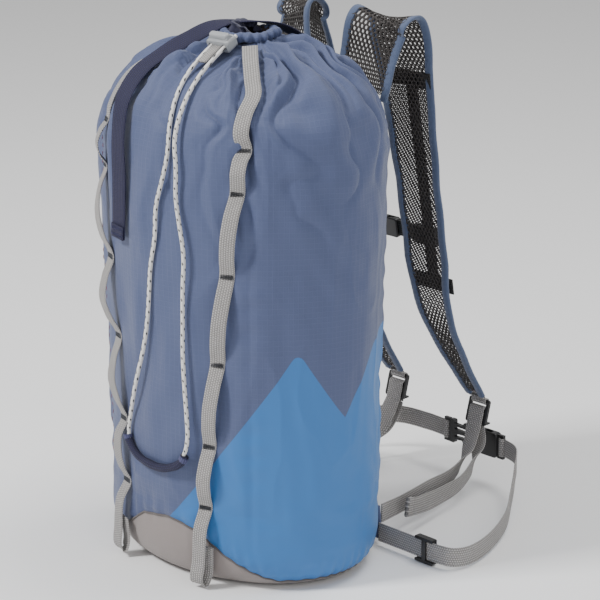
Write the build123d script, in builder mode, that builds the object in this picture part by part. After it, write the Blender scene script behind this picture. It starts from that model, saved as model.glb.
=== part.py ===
from build123d import *
import math
import os

os.makedirs("parts", exist_ok=True)

# A stuffed climbing rucksack: an oval fabric sack closed by a drawcord, standing on its base.
# +Z is up, the front with the two daisy chains faces -Y and the shoulder straps are at +Y.
# The origin is the centre of the base, on the ground. All lengths are millimetres.

# ---- Driving dimensions ---------------------------------------------------------------------
WALL = 2.0  # sewn fabric with its coating and seam allowances
TAPE = 1.5  # thickness of every webbing
STRAP_WIDTH = 20.0  # adjuster, waist and top webbing
DAISY_WIDTH = 15.0
STERNUM_WIDTH = 17.0
GAP = 0.5  # clearance between pieces that move on each other
CORD_RADIUS = 2.0
BORE_RADIUS = 2.9  # holes of the cord lock
SHOULDER_X = 60.0  # middle of each shoulder strap
SHOULDER_THICK = 4.0
BINDING_WIDTH = 8.0

# Height, half width, half depth and the middle (x, y) of the sack's oval outline.
SACK_OUTLINE = [
    (0, 120, 86, 0, 0),
    (3, 133, 97, 0, 0),
    (11, 143, 106, 0, 0),
    (26, 150, 112, 0, 0),
    (70, 152, 113.5, 0, 0),
    (230, 155, 116, 0, 0),
    (390, 158, 118, 0, 0),
    (430, 156, 116.5, 0, 0),
    (458, 146, 109, 1, 0),
    (478, 127, 96, 2, 1),
    (493, 100, 77, 4, 2),
    (504, 70, 54, 6, 3),
    (512, 44, 34, 7, 4),
    (518, 27, 21, 8, 5),
]
MOUTH = Vector(8, 5, 518)
REACH = 600.0  # larger than the sack, for cutters

# Bearings of the four upright seams, in degrees from +X
FRONT_LEFT, FRONT_RIGHT, BACK_RIGHT, BACK_LEFT = 227.0, 313.0, 401.0, 139.0
# The base panel's seam, seen from the front: highest under the left chain, lowest on the right
BASE_SEAM = [(-200, 8), (-92, 8), (-24, 55), (16, 63), (52, 54), (116, 8), (200, 8)]


def save(piece, name):
    """Label a finished piece and write it as its own STEP file."""
    piece.label = name
    export_step(piece, f"parts/{name}.step")
    return piece


# ---- Helpers for the sack's curved walls ------------------------------------------------------
def inset_outline(inset):
    """The sack's outline moved inwards along its own slope."""
    moved = []
    last = len(SACK_OUTLINE) - 1
    for i, (height, width, depth, x, y) in enumerate(SACK_OUTLINE):
        below, above = SACK_OUTLINE[max(i - 1, 0)], SACK_OUTLINE[min(i + 1, last)]
        rise, run = above[0] - below[0], above[1] - below[1]
        slope = math.hypot(rise, run)
        height += inset * run / slope
        moved.append((height, width - inset * rise / slope, depth - inset * rise / slope, x, y))
    return moved


def oval_solid(outline):
    """Solid through the ovals of an outline."""
    with BuildPart() as body:
        for height, width, depth, x, y in outline:
            with BuildSketch(Plane((x, y, height))):
                Ellipse(width, depth)
        loft(ruled=True)
    return body.part


def oval_shell(outer_inset, inner_inset):
    """The layer of material between two insets, open at the mouth."""
    inner = inset_outline(inner_inset)
    top = inner[-1]
    outside = oval_solid(inset_outline(outer_inset))
    hollow = oval_solid(inner + [(top[0] + 12, *top[1:])])
    with BuildPart() as layer:
        add(outside)
        add(hollow, mode=Mode.SUBTRACT)
    return layer.part


def sector(start, end):
    """Prism between two upright planes that meet on the sack's axis."""
    with BuildPart() as wedge:
        with BuildSketch(Plane.XY.offset(-20)):
            with BuildLine():
                corners = [(0, 0)]
                for bearing in (start, (start + end) / 2, end):
                    turn = math.radians(bearing)
                    corners.append((REACH * math.cos(turn), REACH * math.sin(turn)))
                Polyline(*corners, close=True)
            make_face()
        extrude(amount=REACH)
    return wedge.part


def slab(low, high):
    """Everything between two heights."""
    with BuildPart() as block:
        with BuildSketch(Plane.XY.offset(low)):
            Rectangle(REACH, REACH)
        extrude(amount=high - low)
    return block.part


def oval_at(height):
    """Half width, half depth and middle of the sack at a height."""
    for low, high in zip(SACK_OUTLINE, SACK_OUTLINE[1:]):
        if height <= high[0]:
            share = (height - low[0]) / (high[0] - low[0])
            return [a + share * (b - a) for a, b in zip(low[1:], high[1:])]
    return list(SACK_OUTLINE[-1][1:])


def on_wall(x, height, stand_off, side=-1):
    """Point on the sack's wall, on its front (side -1) or back (side 1), and the way along it."""
    width, depth, middle_x, middle_y = oval_at(height)
    across = (x - middle_x) / width
    y = side * depth * math.sqrt(1 - across**2)
    outward = Vector(across / width, y / depth**2, 0).normalized()
    along = Vector(-outward.Y, outward.X, 0) * side * -1
    return Vector(x, y + middle_y, height) + outward * stand_off, along


def dome_height(x, y):
    """Height of the sack's domed top above a point of the plan."""
    low, high = SACK_OUTLINE[4][0], SACK_OUTLINE[-1][0]
    for _ in range(30):
        height = (low + high) / 2
        width, depth, middle_x, middle_y = oval_at(height)
        inside = ((x - middle_x) / width) ** 2 + ((y - middle_y) / depth) ** 2 < 1
        low, high = (height, high) if inside else (low, height)
    return low


def over_dome(x, y, clearance):
    """Point off the sack's domed top, along its slope."""
    height, step = dome_height(x, y), 2.0
    slope_x = (dome_height(x + step, y) - dome_height(x - step, y)) / (2 * step)
    slope_y = (dome_height(x, y + step) - dome_height(x, y - step)) / (2 * step)
    return Vector(x, y, height) + Vector(-slope_x, -slope_y, 1).normalized() * clearance


# ---- Helpers for webbing and cord -------------------------------------------------------------
def webbing(points, across, width, thickness=TAPE, slices=16):
    """Flat band along a smooth line. across lists the band's width direction at each point, or at
    even steps from start to end."""
    points = [Vector(*p) for p in points]
    line = Spline(*points, mode=Mode.PRIVATE)
    across = [Vector(*a) for a in across]
    if len(across) == 1:
        across = across * 2
    knots = [i / (len(across) - 1) for i in range(len(across))]
    if len(across) == len(points):
        runs = [0.0] + [(b - a).length for a, b in zip(points, points[1:])]
        knots = [sum(runs[: i + 1]) / sum(runs) for i in range(len(runs))]
    with BuildPart() as band:
        for i in range(slices + 1):
            share = i / slices
            k = max(j for j in range(len(knots) - 1) if knots[j] <= share)
            part_way = (share - knots[k]) / (knots[k + 1] - knots[k])
            side = across[k] + (across[k + 1] - across[k]) * part_way
            with BuildSketch(Plane(origin=line @ share, x_dir=side, z_dir=line % share)):
                Rectangle(width, thickness)
        loft(ruled=True)
    return band.part


def plate_plane(origin, across, heading):
    """Plane of a flat buckle: x across the webbing and y along it."""
    across, heading = Vector(*across).normalized(), Vector(*heading).normalized()
    return Plane(origin=origin, x_dir=across, z_dir=across.cross(heading))


def mirrored(piece):
    """The same piece on the other side of the YZ plane."""
    return mirror(piece, about=Plane.YZ)


# ---- Sack ---------------------------------------------------------------------------------------
sack_wall = oval_shell(0, WALL)

# The mountain: a zigzag panel over the front right, drawn as seen from the front right corner.
MOUNTAIN_VIEW = Plane(origin=(0, 0, 0), x_dir=(1, 1, 0), z_dir=(1, -1, 0))
MOUNTAIN_EDGE = [(-150, -57), (-14, 143.5), (61.8, 246), (104.3, 177), (130, 240), (200, 330), (200, -57)]
PEAK_ROUNDING = 6.0
with BuildPart() as mountain_cutter:
    with BuildSketch(MOUNTAIN_VIEW) as mountain_outline:
        with BuildLine():
            Polyline(*MOUNTAIN_EDGE, close=True)
        make_face()
        fillet(mountain_outline.vertices().sort_by_distance((61.8, 246, 0))[0], PEAK_ROUNDING)
    extrude(amount=REACH)


def below_seam(raised):
    """Everything below the base panel's seam, with the seam raised by some millimetres."""
    seam = [(x, height + raised) for x, height in BASE_SEAM]
    with BuildPart() as block:
        with BuildSketch(Plane.XZ.offset(-REACH / 2)):
            with BuildLine():
                Polyline(*seam, (200, -20), (-200, -20), close=True)
            make_face()
        extrude(amount=REACH)
    return block.part


below_base_seam = below_seam(0)


def upper_panel(start, end, name, minus_mountain):
    """One sewn panel of the sack's wall, from the base seam to the mouth."""
    wedge = sector(start, end)
    with BuildPart() as panel:
        add(sack_wall)
        add(wedge, mode=Mode.INTERSECT)
        add(below_base_seam, mode=Mode.SUBTRACT)
        if minus_mountain:
            add(mountain_cutter.part, mode=Mode.SUBTRACT)
    return save(panel.part, name)


upper_panel(FRONT_LEFT, FRONT_RIGHT, "front_panel", True)
upper_panel(FRONT_RIGHT, BACK_RIGHT, "side_panel_right", True)
upper_panel(BACK_LEFT, FRONT_LEFT, "side_panel_left", False)
upper_panel(BACK_RIGHT - 360, BACK_LEFT, "back_panel", False)

mountain_sector = sector(FRONT_LEFT, BACK_RIGHT)
with BuildPart() as mountain_panel:
    add(sack_wall)
    add(mountain_sector, mode=Mode.INTERSECT)
    add(below_base_seam, mode=Mode.SUBTRACT)
    add(mountain_cutter.part, mode=Mode.INTERSECT)
save(mountain_panel.part, "mountain_panel")

with BuildPart() as base_panel:
    add(sack_wall)
    add(below_base_seam, mode=Mode.INTERSECT)
save(base_panel.part, "base_panel")

# Piping sewn into the base seam
PIPING = 1.6
piping_layer = oval_shell(-PIPING, 0)
under_piping, over_piping = below_seam(-PIPING), below_seam(PIPING)
with BuildPart() as base_piping:
    add(piping_layer)
    add(over_piping, mode=Mode.INTERSECT)
    add(under_piping, mode=Mode.SUBTRACT)
save(base_piping.part, "base_piping")

# Dark facing sewn inside the mouth
FACING_LOW = 486.0
facing_layer = oval_shell(WALL + 0.2, WALL + 1.2)
facing_slab = slab(FACING_LOW, 516)
with BuildPart() as mouth_facing:
    add(facing_layer)
    add(facing_slab, mode=Mode.INTERSECT)
save(mouth_facing.part, "mouth_facing")

# Foam sheet in a sleeve behind the back panel
PAD_LOW, PAD_HIGH, PAD_THICK = 45.0, 425.0, 5.0
pad_sector = sector(BACK_RIGHT - 360 + 8, BACK_LEFT - 8)
with BuildPart() as back_pad:
    with BuildSketch(Plane.XY.offset(PAD_LOW)):
        Ellipse(146, 108.5)
        Ellipse(146 - PAD_THICK, 108.5 - PAD_THICK, mode=Mode.SUBTRACT)
    extrude(amount=PAD_HIGH - PAD_LOW)
    add(pad_sector, mode=Mode.INTERSECT)
save(back_pad.part, "back_pad")

# Drawcord tunnel round the mouth, with the cord's hidden turn inside it
HEM_RING, HEM_RADIUS, HEM_WALL = 25.0, 4.4, 1.2
HEM_SECTION = Plane(origin=(MOUTH.X, MOUTH.Y, MOUTH.Z + 4.5), x_dir=(1, 0, 0), z_dir=(0, -1, 0))
HEM_AXIS = Axis(MOUTH, (0, 0, 1))
with BuildPart() as drawcord_hem:
    with BuildSketch(HEM_SECTION):
        with Locations((HEM_RING, 0)):
            Circle(HEM_RADIUS)
            Circle(HEM_RADIUS - HEM_WALL, mode=Mode.SUBTRACT)
    revolve(axis=HEM_AXIS)
save(drawcord_hem.part, "drawcord_hem")

with BuildPart() as hem_cord:
    with BuildSketch(HEM_SECTION):
        with Locations((HEM_RING, 0)):
            Circle(CORD_RADIUS)
    revolve(axis=HEM_AXIS)
save(hem_cord.part, "hem_cord")

# ---- Drawcord -----------------------------------------------------------------------------------
# One limp cord: out of the hem through the cord lock, down the front, through the pull tab and
# back up through the lock's other hole. Each point is a corner between two straight runs.
DRAWCORD_ROUTE = [
    (4, -26, 524.5), (8.6, -63.4, 506), (17, -95, 482.5), (26, -113.5, 455), (30, -119, 428),
    (23, -120.5, 402), (13, -121.5, 374), (12, -120.8, 345), (4, -121, 316), (1, -120.4, 289),
    (-2, -120.6, 259), (-10, -119.6, 228), (-24, -119, 191), (-34, -117, 158), (-41, -116, 133),
    (-27, -118, 118), (-4, -119.6, 113), (20, -119.8, 115), (42, -118, 127), (50, -116.5, 148),
    (48.5, -116.8, 177), (46.5, -117.4, 206), (45.2, -117.8, 237), (46.4, -118, 269),
    (47.2, -118.4, 301), (50, -118.2, 334), (45, -119.2, 362), (40.5, -120, 389),
    (42.2, -119.6, 416), (38, -118.6, 441), (36.5, -110.5, 463), (32, -93, 484.5),
    (24.6, -61.4, 506), (20, -24, 524.5),
]
ARC_SHARE = 0.45  # share of the shorter run that an arc takes


def tangent_radii(route):
    """The largest arc that each corner's two runs allow."""
    points = [Vector(*p) for p in route]
    radii = []
    for before, corner, after in zip(points, points[1:], points[2:]):
        arriving, leaving = corner - before, after - corner
        half_turn = math.radians(arriving.get_angle(leaving)) / 2
        radii.append(ARC_SHARE * min(arriving.length, leaving.length) / math.tan(half_turn))
    return radii


def round_tube(route, radius, bore=0.0):
    """Tube along straight runs joined by tangent arcs."""
    start = Vector(*route[0])
    heading = Vector(*route[1]) - start
    with BuildPart() as tube:
        with BuildLine():
            path = FilletPolyline(*route, radius=[*tangent_radii(route)])
        with BuildSketch(Plane(origin=start, z_dir=heading)):
            Circle(radius)
            if bore:
                Circle(bore, mode=Mode.SUBTRACT)
        sweep()
    return tube.part, path.length


drawcord, drawcord_length = round_tube(DRAWCORD_ROUTE, CORD_RADIUS)
print("drawcord radii", [round(r, 1) for r in tangent_radii(DRAWCORD_ROUTE)])
print("drawcord length", round(drawcord_length, 1), "volume", round(drawcord.volume, 1),
      "section x length", round(math.pi * CORD_RADIUS**2 * drawcord_length, 1))
save(drawcord, "drawcord")

# Tube of webbing that the bottom of the cord's loop runs through
PULL_TAB_ROUTE = [
    (-38.5, -116.5, 130), (-27, -118, 118), (-4, -119.6, 113), (20, -119.8, 115), (42, -118, 127),
    (49, -116.9, 145),
]
pull_tab, pull_tab_length = round_tube(PULL_TAB_ROUTE, 4.6, CORD_RADIUS + 0.4)
save(pull_tab, "pull_tab")

# ---- Cord lock ------------------------------------------------------------------------------------
LOCK_START = Vector(12, -25, 524.5)
LOCK_ACROSS = Vector(16, 2, 0).normalized()
LOCK_ALONG = Vector(4.6, -37.4, -18.5).normalized()
LOCK_NORMAL = LOCK_ACROSS.cross(LOCK_ALONG) * -1
LOCK_LENGTH, LOCK_WIDTH, LOCK_OFFSET = 14.0, 27.0, 5.0
LOCK_BELOW, LOCK_ABOVE = 6.6, 6.2
BORE_SPACING = Vector(16, 2, 0).length
LOCK_FACE = LOCK_START + LOCK_ALONG * LOCK_OFFSET
PLUNGER_TRAVEL = 3.0
PLUNGER_WIDTH, PLUNGER_LENGTH = 22.8, 7.0
PLUNGER_FLOOR = -2.4  # underside of the plunger below the cords, at rest
SPRING_RADIUS, SPRING_WIRE, SPRING_POCKET = 1.9, 0.35, 7.0
LOCK_FLOOR = -LOCK_BELOW + 1.0
# Looking along the cords: x is across them and y is away from the sack.
LOCK_SECTION = Plane(origin=LOCK_FACE, x_dir=LOCK_ACROSS, z_dir=LOCK_ACROSS.cross(LOCK_NORMAL))
# Looking down on the lock: x is across the cords and y is along them.
LOCK_TOP = Plane(origin=LOCK_FACE + LOCK_ALONG * LOCK_LENGTH / 2, x_dir=LOCK_ACROSS,
                 z_dir=LOCK_NORMAL)
BORES = [(-BORE_SPACING / 2, 0), (BORE_SPACING / 2, 0)]

with BuildPart() as cord_lock_housing:
    with BuildSketch(LOCK_SECTION):
        with Locations((0, (LOCK_ABOVE - LOCK_BELOW) / 2)):
            RectangleRounded(LOCK_WIDTH, LOCK_ABOVE + LOCK_BELOW, 4)
    extrude(amount=LOCK_LENGTH * LOCK_SECTION.z_dir.dot(LOCK_ALONG))
    fillet(cord_lock_housing.faces().sort_by(Axis(LOCK_FACE, LOCK_ALONG))[0].edges(), 1.2)
    fillet(cord_lock_housing.faces().sort_by(Axis(LOCK_FACE, LOCK_ALONG))[-1].edges(), 1.2)
    with BuildSketch(LOCK_SECTION):
        with Locations(*BORES):
            Circle(BORE_RADIUS)
    extrude(amount=REACH / 10, both=True, mode=Mode.SUBTRACT)
    with BuildSketch(LOCK_TOP.offset(LOCK_FLOOR)):
        Rectangle(PLUNGER_WIDTH + 2 * 0.35, PLUNGER_LENGTH + 2 * 0.35)
    extrude(amount=20, mode=Mode.SUBTRACT)
save(cord_lock_housing.part, "cord_lock_housing")

with BuildPart() as cord_lock_plunger:
    with BuildSketch(LOCK_TOP.offset(PLUNGER_FLOOR)):
        Rectangle(PLUNGER_WIDTH, PLUNGER_LENGTH)
    extrude(amount=LOCK_ABOVE - PLUNGER_FLOOR + 1)
    with BuildSketch(LOCK_TOP.offset(LOCK_ABOVE + 1)):
        RectangleRounded(PLUNGER_WIDTH, PLUNGER_LENGTH, 3)
    extrude(amount=3.6)
    fillet(cord_lock_plunger.faces().sort_by(Axis(LOCK_FACE, LOCK_NORMAL))[-1].edges(), 2.4)
    with BuildSketch(LOCK_SECTION):
        for x, y in BORES:
            with Locations((x, PLUNGER_TRAVEL / 2)):
                SlotCenterToCenter(PLUNGER_TRAVEL, 2 * BORE_RADIUS, rotation=90)
    extrude(amount=REACH / 10, both=True, mode=Mode.SUBTRACT)
    with BuildSketch(LOCK_TOP.offset(PLUNGER_FLOOR)):
        Circle(SPRING_RADIUS + SPRING_WIRE + 0.3)
    extrude(amount=SPRING_POCKET, mode=Mode.SUBTRACT)
save(cord_lock_plunger.part, "cord_lock_plunger")

SPRING_TURNS = 5
SPRING_HEIGHT = SPRING_POCKET + PLUNGER_FLOOR - LOCK_FLOOR - 2 * SPRING_WIRE - 0.2
with BuildPart() as cord_lock_spring:
    with BuildLine():
        coil = Helix(SPRING_HEIGHT / SPRING_TURNS, SPRING_HEIGHT, SPRING_RADIUS,
                     center=LOCK_TOP.origin + LOCK_NORMAL * (LOCK_FLOOR + SPRING_WIRE + 0.1),
                     direction=LOCK_NORMAL)
    with BuildSketch(Plane(origin=coil @ 0, z_dir=coil % 0)):
        Circle(SPRING_WIRE)
    sweep(is_frenet=True)
save(cord_lock_spring.part, "cord_lock_spring")

# Ribbed tab sewn to the lock's front bar, between the two strands
LOCK_END = LOCK_FACE + LOCK_ALONG * (LOCK_LENGTH + 0.3)
cord_lock_tab = webbing(
    [LOCK_END, LOCK_END + LOCK_ALONG * 12 + LOCK_NORMAL * 0.4, LOCK_END + LOCK_ALONG * 25],
    [LOCK_ACROSS], 10, 2.4, slices=6)
save(cord_lock_tab, "cord_lock_tab")

# ---- Top strap ------------------------------------------------------------------------------------
# Sewn to the back of the hem, it crosses the mouth and hangs down the front.
TOP_ANCHOR = Vector(4, 102, 482)
TOP_STRAP_ROUTE = [
    TOP_ANCHOR, (7, 78, 505), (8, 40, 526), (-2, 12, 531.5), (-16, -14, 530), (-28, -38, 519),
    (-38, -62, 507), (-42, -92, 491), (-40, -114, 468), (-39, -121.5, 436), (-40, -121, 390),
    (-44, -119.5, 333),
]
top_strap = webbing(TOP_STRAP_ROUTE, [(1, 0.15, 0), (0.93, 0.36, 0), (0.9, 0.42, 0), (0.98, -0.05, 0),
                                      (0.98, -0.1, 0)], STRAP_WIDTH, slices=40)
save(top_strap, "top_strap")

# ---- Daisy chains -----------------------------------------------------------------------------------
# Each chain is one webbing tacked flat to the front, with a slack loop between each two tacks.
TACK_OFF, LOOP_OFF, TOP_OFF = 1.9, 11.0, 4.6
BEND_HEIGHT, BEND_IN = 453.0, 3.0  # where the webbing turns from the top onto the wall


def daisy_chain(top_points, tacks, last_loop):
    """Webbing from the mouth down through its tacks, then a long hanging loop back up."""
    flat = [on_wall(*tacks[0], 0)[1]] * len(top_points)
    stops = [(over_dome(x, y, TOP_OFF), along) for (x, y), along in zip(top_points, flat)]
    stops.append(on_wall(tacks[0][0] + BEND_IN * (1 if tacks[0][0] < 0 else -1), BEND_HEIGHT, TOP_OFF))
    for (x0, z0), (x1, z1) in zip(tacks, tacks[1:]):
        stops.append(on_wall(x0, z0, TACK_OFF))
        stops.append(on_wall((x0 + x1) / 2, (z0 + z1) / 2, LOOP_OFF))
    stops.append(on_wall(*tacks[-1], TACK_OFF))
    stops += [on_wall(*place) for place in last_loop]
    points, across = zip(*stops)
    return webbing(points, across, DAISY_WIDTH, slices=7 * len(points))


left_top = [(-26, -27), (-58, -60), (-80, -81)]
left_tacks = [(-90, 438), (-87, 396), (-76, 308), (-67, 229), (-56, 148), (-50, 84)]
left_last = [(-51, 62, 9), (-53, 30, 13), (-54, 11, 14), (-52, 7, 9), (-50, 16, 6.5), (-47, 44, 6)]
save(daisy_chain(left_top, left_tacks, left_last), "daisy_chain_left")

right_top = [(36, -20), (76, -50), (97, -71)]
right_tacks = [(101, 438), (97, 396), (88, 318), (77, 231), (67, 148), (61, 84)]
right_last = [(60, 62, 9), (58, 30, 13), (56, 8, 14), (58, 5, 9), (61, 14, 6.5), (63, 44, 6)]
save(daisy_chain(right_top, right_tacks, right_last), "daisy_chain_right")

# ---- Shoulder straps ----------------------------------------------------------------------------------
# Middle line of the right strap, from its seam on the back over the crest to its lower end.
STRAP_LINE = [
    (50, 115.5, 452), (53, 120, 490), (58, 131, 525), (60, 150, 522), (60, 164, 475),
    (60, 170.5, 438), (60, 177, 401), (60, 183.5, 364), (60, 190, 327), (60, 196.5, 290),
    (60, 205.3, 240), (60, 217, 204), (60, 240, 163), (60, 266, 124), (60, 279, 106),
]
STRAP_TOP_WIDTH, STRAP_END_WIDTH = 66.0, 26.0
ACROSS = (1, 0, 0)
STRAP_TWIST = [(1, 0, 0), (0.87, 0.5, -0.1), (1, 0.15, 0), (1, 0, 0), (1, 0, 0), (1, 0, 0), (1, 0, 0)]
STRAP_SLICES = 40
STRAIGHT = (Vector(60, 164, 475), Vector(60, 203, 253))


def strap_width(share):
    """Width of the shoulder strap: even down to the lower band, then tapering."""
    taper_start = 0.66
    if share < taper_start:
        return STRAP_TOP_WIDTH - 6 * share / taper_start
    return 60 + (STRAP_END_WIDTH - 60) * (share - taper_start) / (1 - taper_start)


def strap_section(share):
    """Plane across the right shoulder strap: x over its width and y through its thickness."""
    line = Spline(*[Vector(*p) for p in STRAP_LINE], mode=Mode.PRIVATE)
    place = share * (len(STRAP_TWIST) - 1)
    k = min(int(place), len(STRAP_TWIST) - 2)
    before, after = Vector(*STRAP_TWIST[k]), Vector(*STRAP_TWIST[k + 1])
    side = before + (after - before) * (place - k)
    return Plane(origin=line @ share, x_dir=side, z_dir=line % share)


def strap_layer(narrower, thickness):
    """A layer of the right shoulder strap, narrower than the strap by a margin on each side."""
    with BuildPart() as layer:
        for i in range(STRAP_SLICES + 1):
            share = i / STRAP_SLICES
            with BuildSketch(strap_section(share)):
                Rectangle(strap_width(share) - 2 * narrower, thickness)
        loft(ruled=True)
    return layer.part


shoulder_mesh = strap_layer(BINDING_WIDTH, SHOULDER_THICK)
whole_strap = strap_layer(0, SHOULDER_THICK + 0.8)
inside_binding = strap_layer(BINDING_WIDTH, SHOULDER_THICK * 3)
with BuildPart() as shoulder_binding:
    add(whole_strap)
    add(inside_binding, mode=Mode.SUBTRACT)

STRAP_DOWN = (STRAIGHT[1] - STRAIGHT[0]).normalized()
STRAP_OUT = Vector(1, 0, 0).cross(STRAP_DOWN) * -1  # away from the wearer's back panel side
if STRAP_OUT.Y < 0:
    STRAP_OUT = STRAP_OUT * -1


def on_strap(height, stand_off, across=0.0):
    """Point over the strap's straight stretch, at a height and a distance off its middle plane."""
    share = (STRAIGHT[0].Z - height) / (STRAIGHT[0].Z - STRAIGHT[1].Z)
    middle = STRAIGHT[0] + (STRAIGHT[1] - STRAIGHT[0]) * share
    return middle + STRAP_OUT * stand_off + Vector(across, 0, 0)


def bar_of(start, end, across, width, thickness=TAPE):
    """Straight flat strip between two points."""
    with BuildPart() as strip:
        with BuildSketch(Plane(origin=start, x_dir=across, z_dir=end - start)):
            Rectangle(width, thickness)
        extrude(amount=(end - start).length)
    return strip.part


# Webbing down the middle of the strap, tacked under the two cross bands and clear between them
WEB_OFF = SHOULDER_THICK / 2 + 5.3
CROSS_HIGH, CROSS_LOW, CROSS_WIDTH = 462.0, 244.0, 17.0
centre_webbing = bar_of(on_strap(CROSS_HIGH + 6, WEB_OFF), on_strap(CROSS_LOW - 6, WEB_OFF),
                        Vector(1, 0, 0), STRAP_WIDTH - 5)
BAND_OFF, BAND_THICK, BAND_REACH = SHOULDER_THICK / 2 + 1.8, 1.4, 29.0


def cross_band(height):
    """Webbing across the strap's outer face at a height."""
    low, high = 0.2, 0.9
    for _ in range(24):
        share = (low + high) / 2
        above = strap_section(share).origin.Z > height
        low, high = (share, high) if above else (low, share)
    section = strap_section(share)
    outward = section.y_dir if section.y_dir.Y > 0 else section.y_dir * -1
    with BuildPart() as band:
        with BuildSketch(Plane(origin=section.origin + outward * BAND_OFF, x_dir=section.x_dir,
                               z_dir=outward)):
            Rectangle(2 * BAND_REACH, CROSS_WIDTH)
        extrude(amount=BAND_THICK)
    return band.part


both_bands = [cross_band(CROSS_HIGH), cross_band(CROSS_LOW)]
with BuildPart() as cross_bands:
    add(both_bands)

# ---- Ladder lock at the end of each shoulder strap ------------------------------------------------------
LOCK_BAR = Vector(60, 287, 97.5)  # the ladder lock's upper bar
LOCK_HEADING = Vector(0, -0.25, -0.968).normalized()
LADDER = plate_plane(LOCK_BAR, ACROSS, LOCK_HEADING)  # x across, y down the webbing, z outwards
LADDER_SIDE = Plane(origin=LOCK_BAR, x_dir=LOCK_HEADING, z_dir=ACROSS)  # x down, y outwards
INNER_WIDTH, RAIL = STRAP_WIDTH + 0.8, 3.8
PLATE_THICK, BAR_RADIUS = 3.6, 1.8
LADDER_END = 24.0
MIDDLE_BAR, LOWER_BAR = (8.4, 12.0), (18.6, LADDER_END)
FOLD_OFF = PLATE_THICK / 2 + GAP / 2 + TAPE / 2 + 0.15
FOLD_START, FOLD_END = 6.1, LADDER_END + 1


def round_bar(middle, across, length, radius=BAR_RADIUS, bore=0.0):
    """Round bar, or the turn of webbing round one when it has a bore."""
    across = Vector(*across).normalized()
    with BuildPart() as bar:
        with BuildSketch(Plane(origin=middle - across * length / 2, z_dir=across)):
            Circle(radius)
            if bore:
                Circle(bore, mode=Mode.SUBTRACT)
        extrude(amount=length)
    return bar.part


ladder_bar = round_bar(LOCK_BAR, ACROSS, INNER_WIDTH + RAIL)
with BuildPart() as ladder_lock:
    with BuildSketch(LADDER.offset(-PLATE_THICK / 2)):
        with Locations((0, LADDER_END / 2)):
            RectangleRounded(INNER_WIDTH + 2 * RAIL, LADDER_END + 2 * BAR_RADIUS, 2.5)
            Rectangle(INNER_WIDTH, LADDER_END + 3 * BAR_RADIUS, mode=Mode.SUBTRACT)
        for low, high in (MIDDLE_BAR, LOWER_BAR):
            with Locations((0, (low + high) / 2)):
                Rectangle(INNER_WIDTH + RAIL, high - low)
    extrude(amount=PLATE_THICK)
    fillet(ladder_lock.faces().sort_by(Axis(LOCK_BAR, LADDER.z_dir))[-1].edges(), 0.8)
    add(ladder_bar)
    with BuildSketch(LADDER_SIDE.offset(-INNER_WIDTH / 2 - RAIL)):  # thumb lip
        with BuildLine():
            Polyline((LADDER_END - 1, 1.5), (LADDER_END + 0.6, 1.8), (LADDER_END - 1, 6.4),
                     (LADDER_END - 2.6, 6.2), (LADDER_END - 2.4, 1.5), close=True)
        make_face()
    extrude(amount=INNER_WIDTH + 2 * RAIL)
    with BuildSketch(LADDER_SIDE.offset(-STRAP_WIDTH / 2 - 0.3)):  # notch that the tail leaves by
        with Locations((LADDER_END, FOLD_OFF)):
            Rectangle(8, TAPE + 0.7)
    extrude(amount=STRAP_WIDTH + 0.6, mode=Mode.SUBTRACT)

with BuildPart() as adjuster_fold:
    with BuildSketch(LADDER_SIDE.offset(-STRAP_WIDTH / 2)):
        with BuildLine():
            Polyline((FOLD_END, -FOLD_OFF), (FOLD_START, -FOLD_OFF), (FOLD_START, FOLD_OFF),
                     (FOLD_END, FOLD_OFF))
        trace(line_width=TAPE)
    extrude(amount=STRAP_WIDTH)

# Loop of webbing that holds the ladder lock on the strap's end
LOOP_INNER = BAR_RADIUS + GAP
loop_band = webbing([(60, 280, 104.8), (60, 283, 102), (60, 285.2, 100.2)], [ACROSS], STRAP_WIDTH, 4.0,
                    slices=6)
loop_eye = round_bar(LOCK_BAR, ACROSS, STRAP_WIDTH, LOOP_INNER + TAPE, LOOP_INNER)
with BuildPart() as lock_loop:
    add(loop_band)
    add(loop_eye)

STRAND_START = LADDER_END + 4.0
RIGHT_STRAND = [
    LOCK_BAR + LOCK_HEADING * STRAND_START - LADDER.z_dir * FOLD_OFF, (62, 270, 56), (65, 258, 40),
    (75, 225, 30), (84, 180, 30), (93, 132, 30), (99, 98, 31),
]
RIGHT_TAIL = [
    LOCK_BAR + LOCK_HEADING * STRAND_START + LADDER.z_dir * FOLD_OFF, (64, 281, 54), (70, 270, 38),
    (84, 234, 25), (93, 190, 23), (104, 146, 28), (111, 123, 34),
]
TWIST = [ACROSS, (1, 0, 0.3), (0.2, 0, 1), (0, 0, 1), (0, 0, 1), (0, 0, 1)]
adjuster_strand = webbing(RIGHT_STRAND, TWIST, STRAP_WIDTH, slices=30)
STOPPER_LENGTH, STOPPER_THICK = 9.0, 5.0
tail_band = webbing(RIGHT_TAIL, TWIST, STRAP_WIDTH, slices=30)
tail_end = Vector(*RIGHT_TAIL[-1])
tail_heading = (tail_end - Vector(*RIGHT_TAIL[-2])).normalized()
stopper = bar_of(tail_end - tail_heading * STOPPER_LENGTH, tail_end, Vector(0, 0, 1), STRAP_WIDTH,
                 STOPPER_THICK)
with BuildPart() as adjuster_tail:
    add(tail_band)
    add(stopper)

for name, piece in (
    ("shoulder_mesh", shoulder_mesh), ("shoulder_binding", shoulder_binding.part),
    ("centre_webbing", centre_webbing), ("cross_bands", cross_bands.part),
    ("lock_loop", lock_loop.part), ("ladder_lock", ladder_lock.part),
    ("adjuster_fold", adjuster_fold.part), ("adjuster_strand", adjuster_strand),
    ("adjuster_tail", adjuster_tail.part),
):
    save(mirrored(piece), f"{name}_left")
    save(piece, f"{name}_right")

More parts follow.
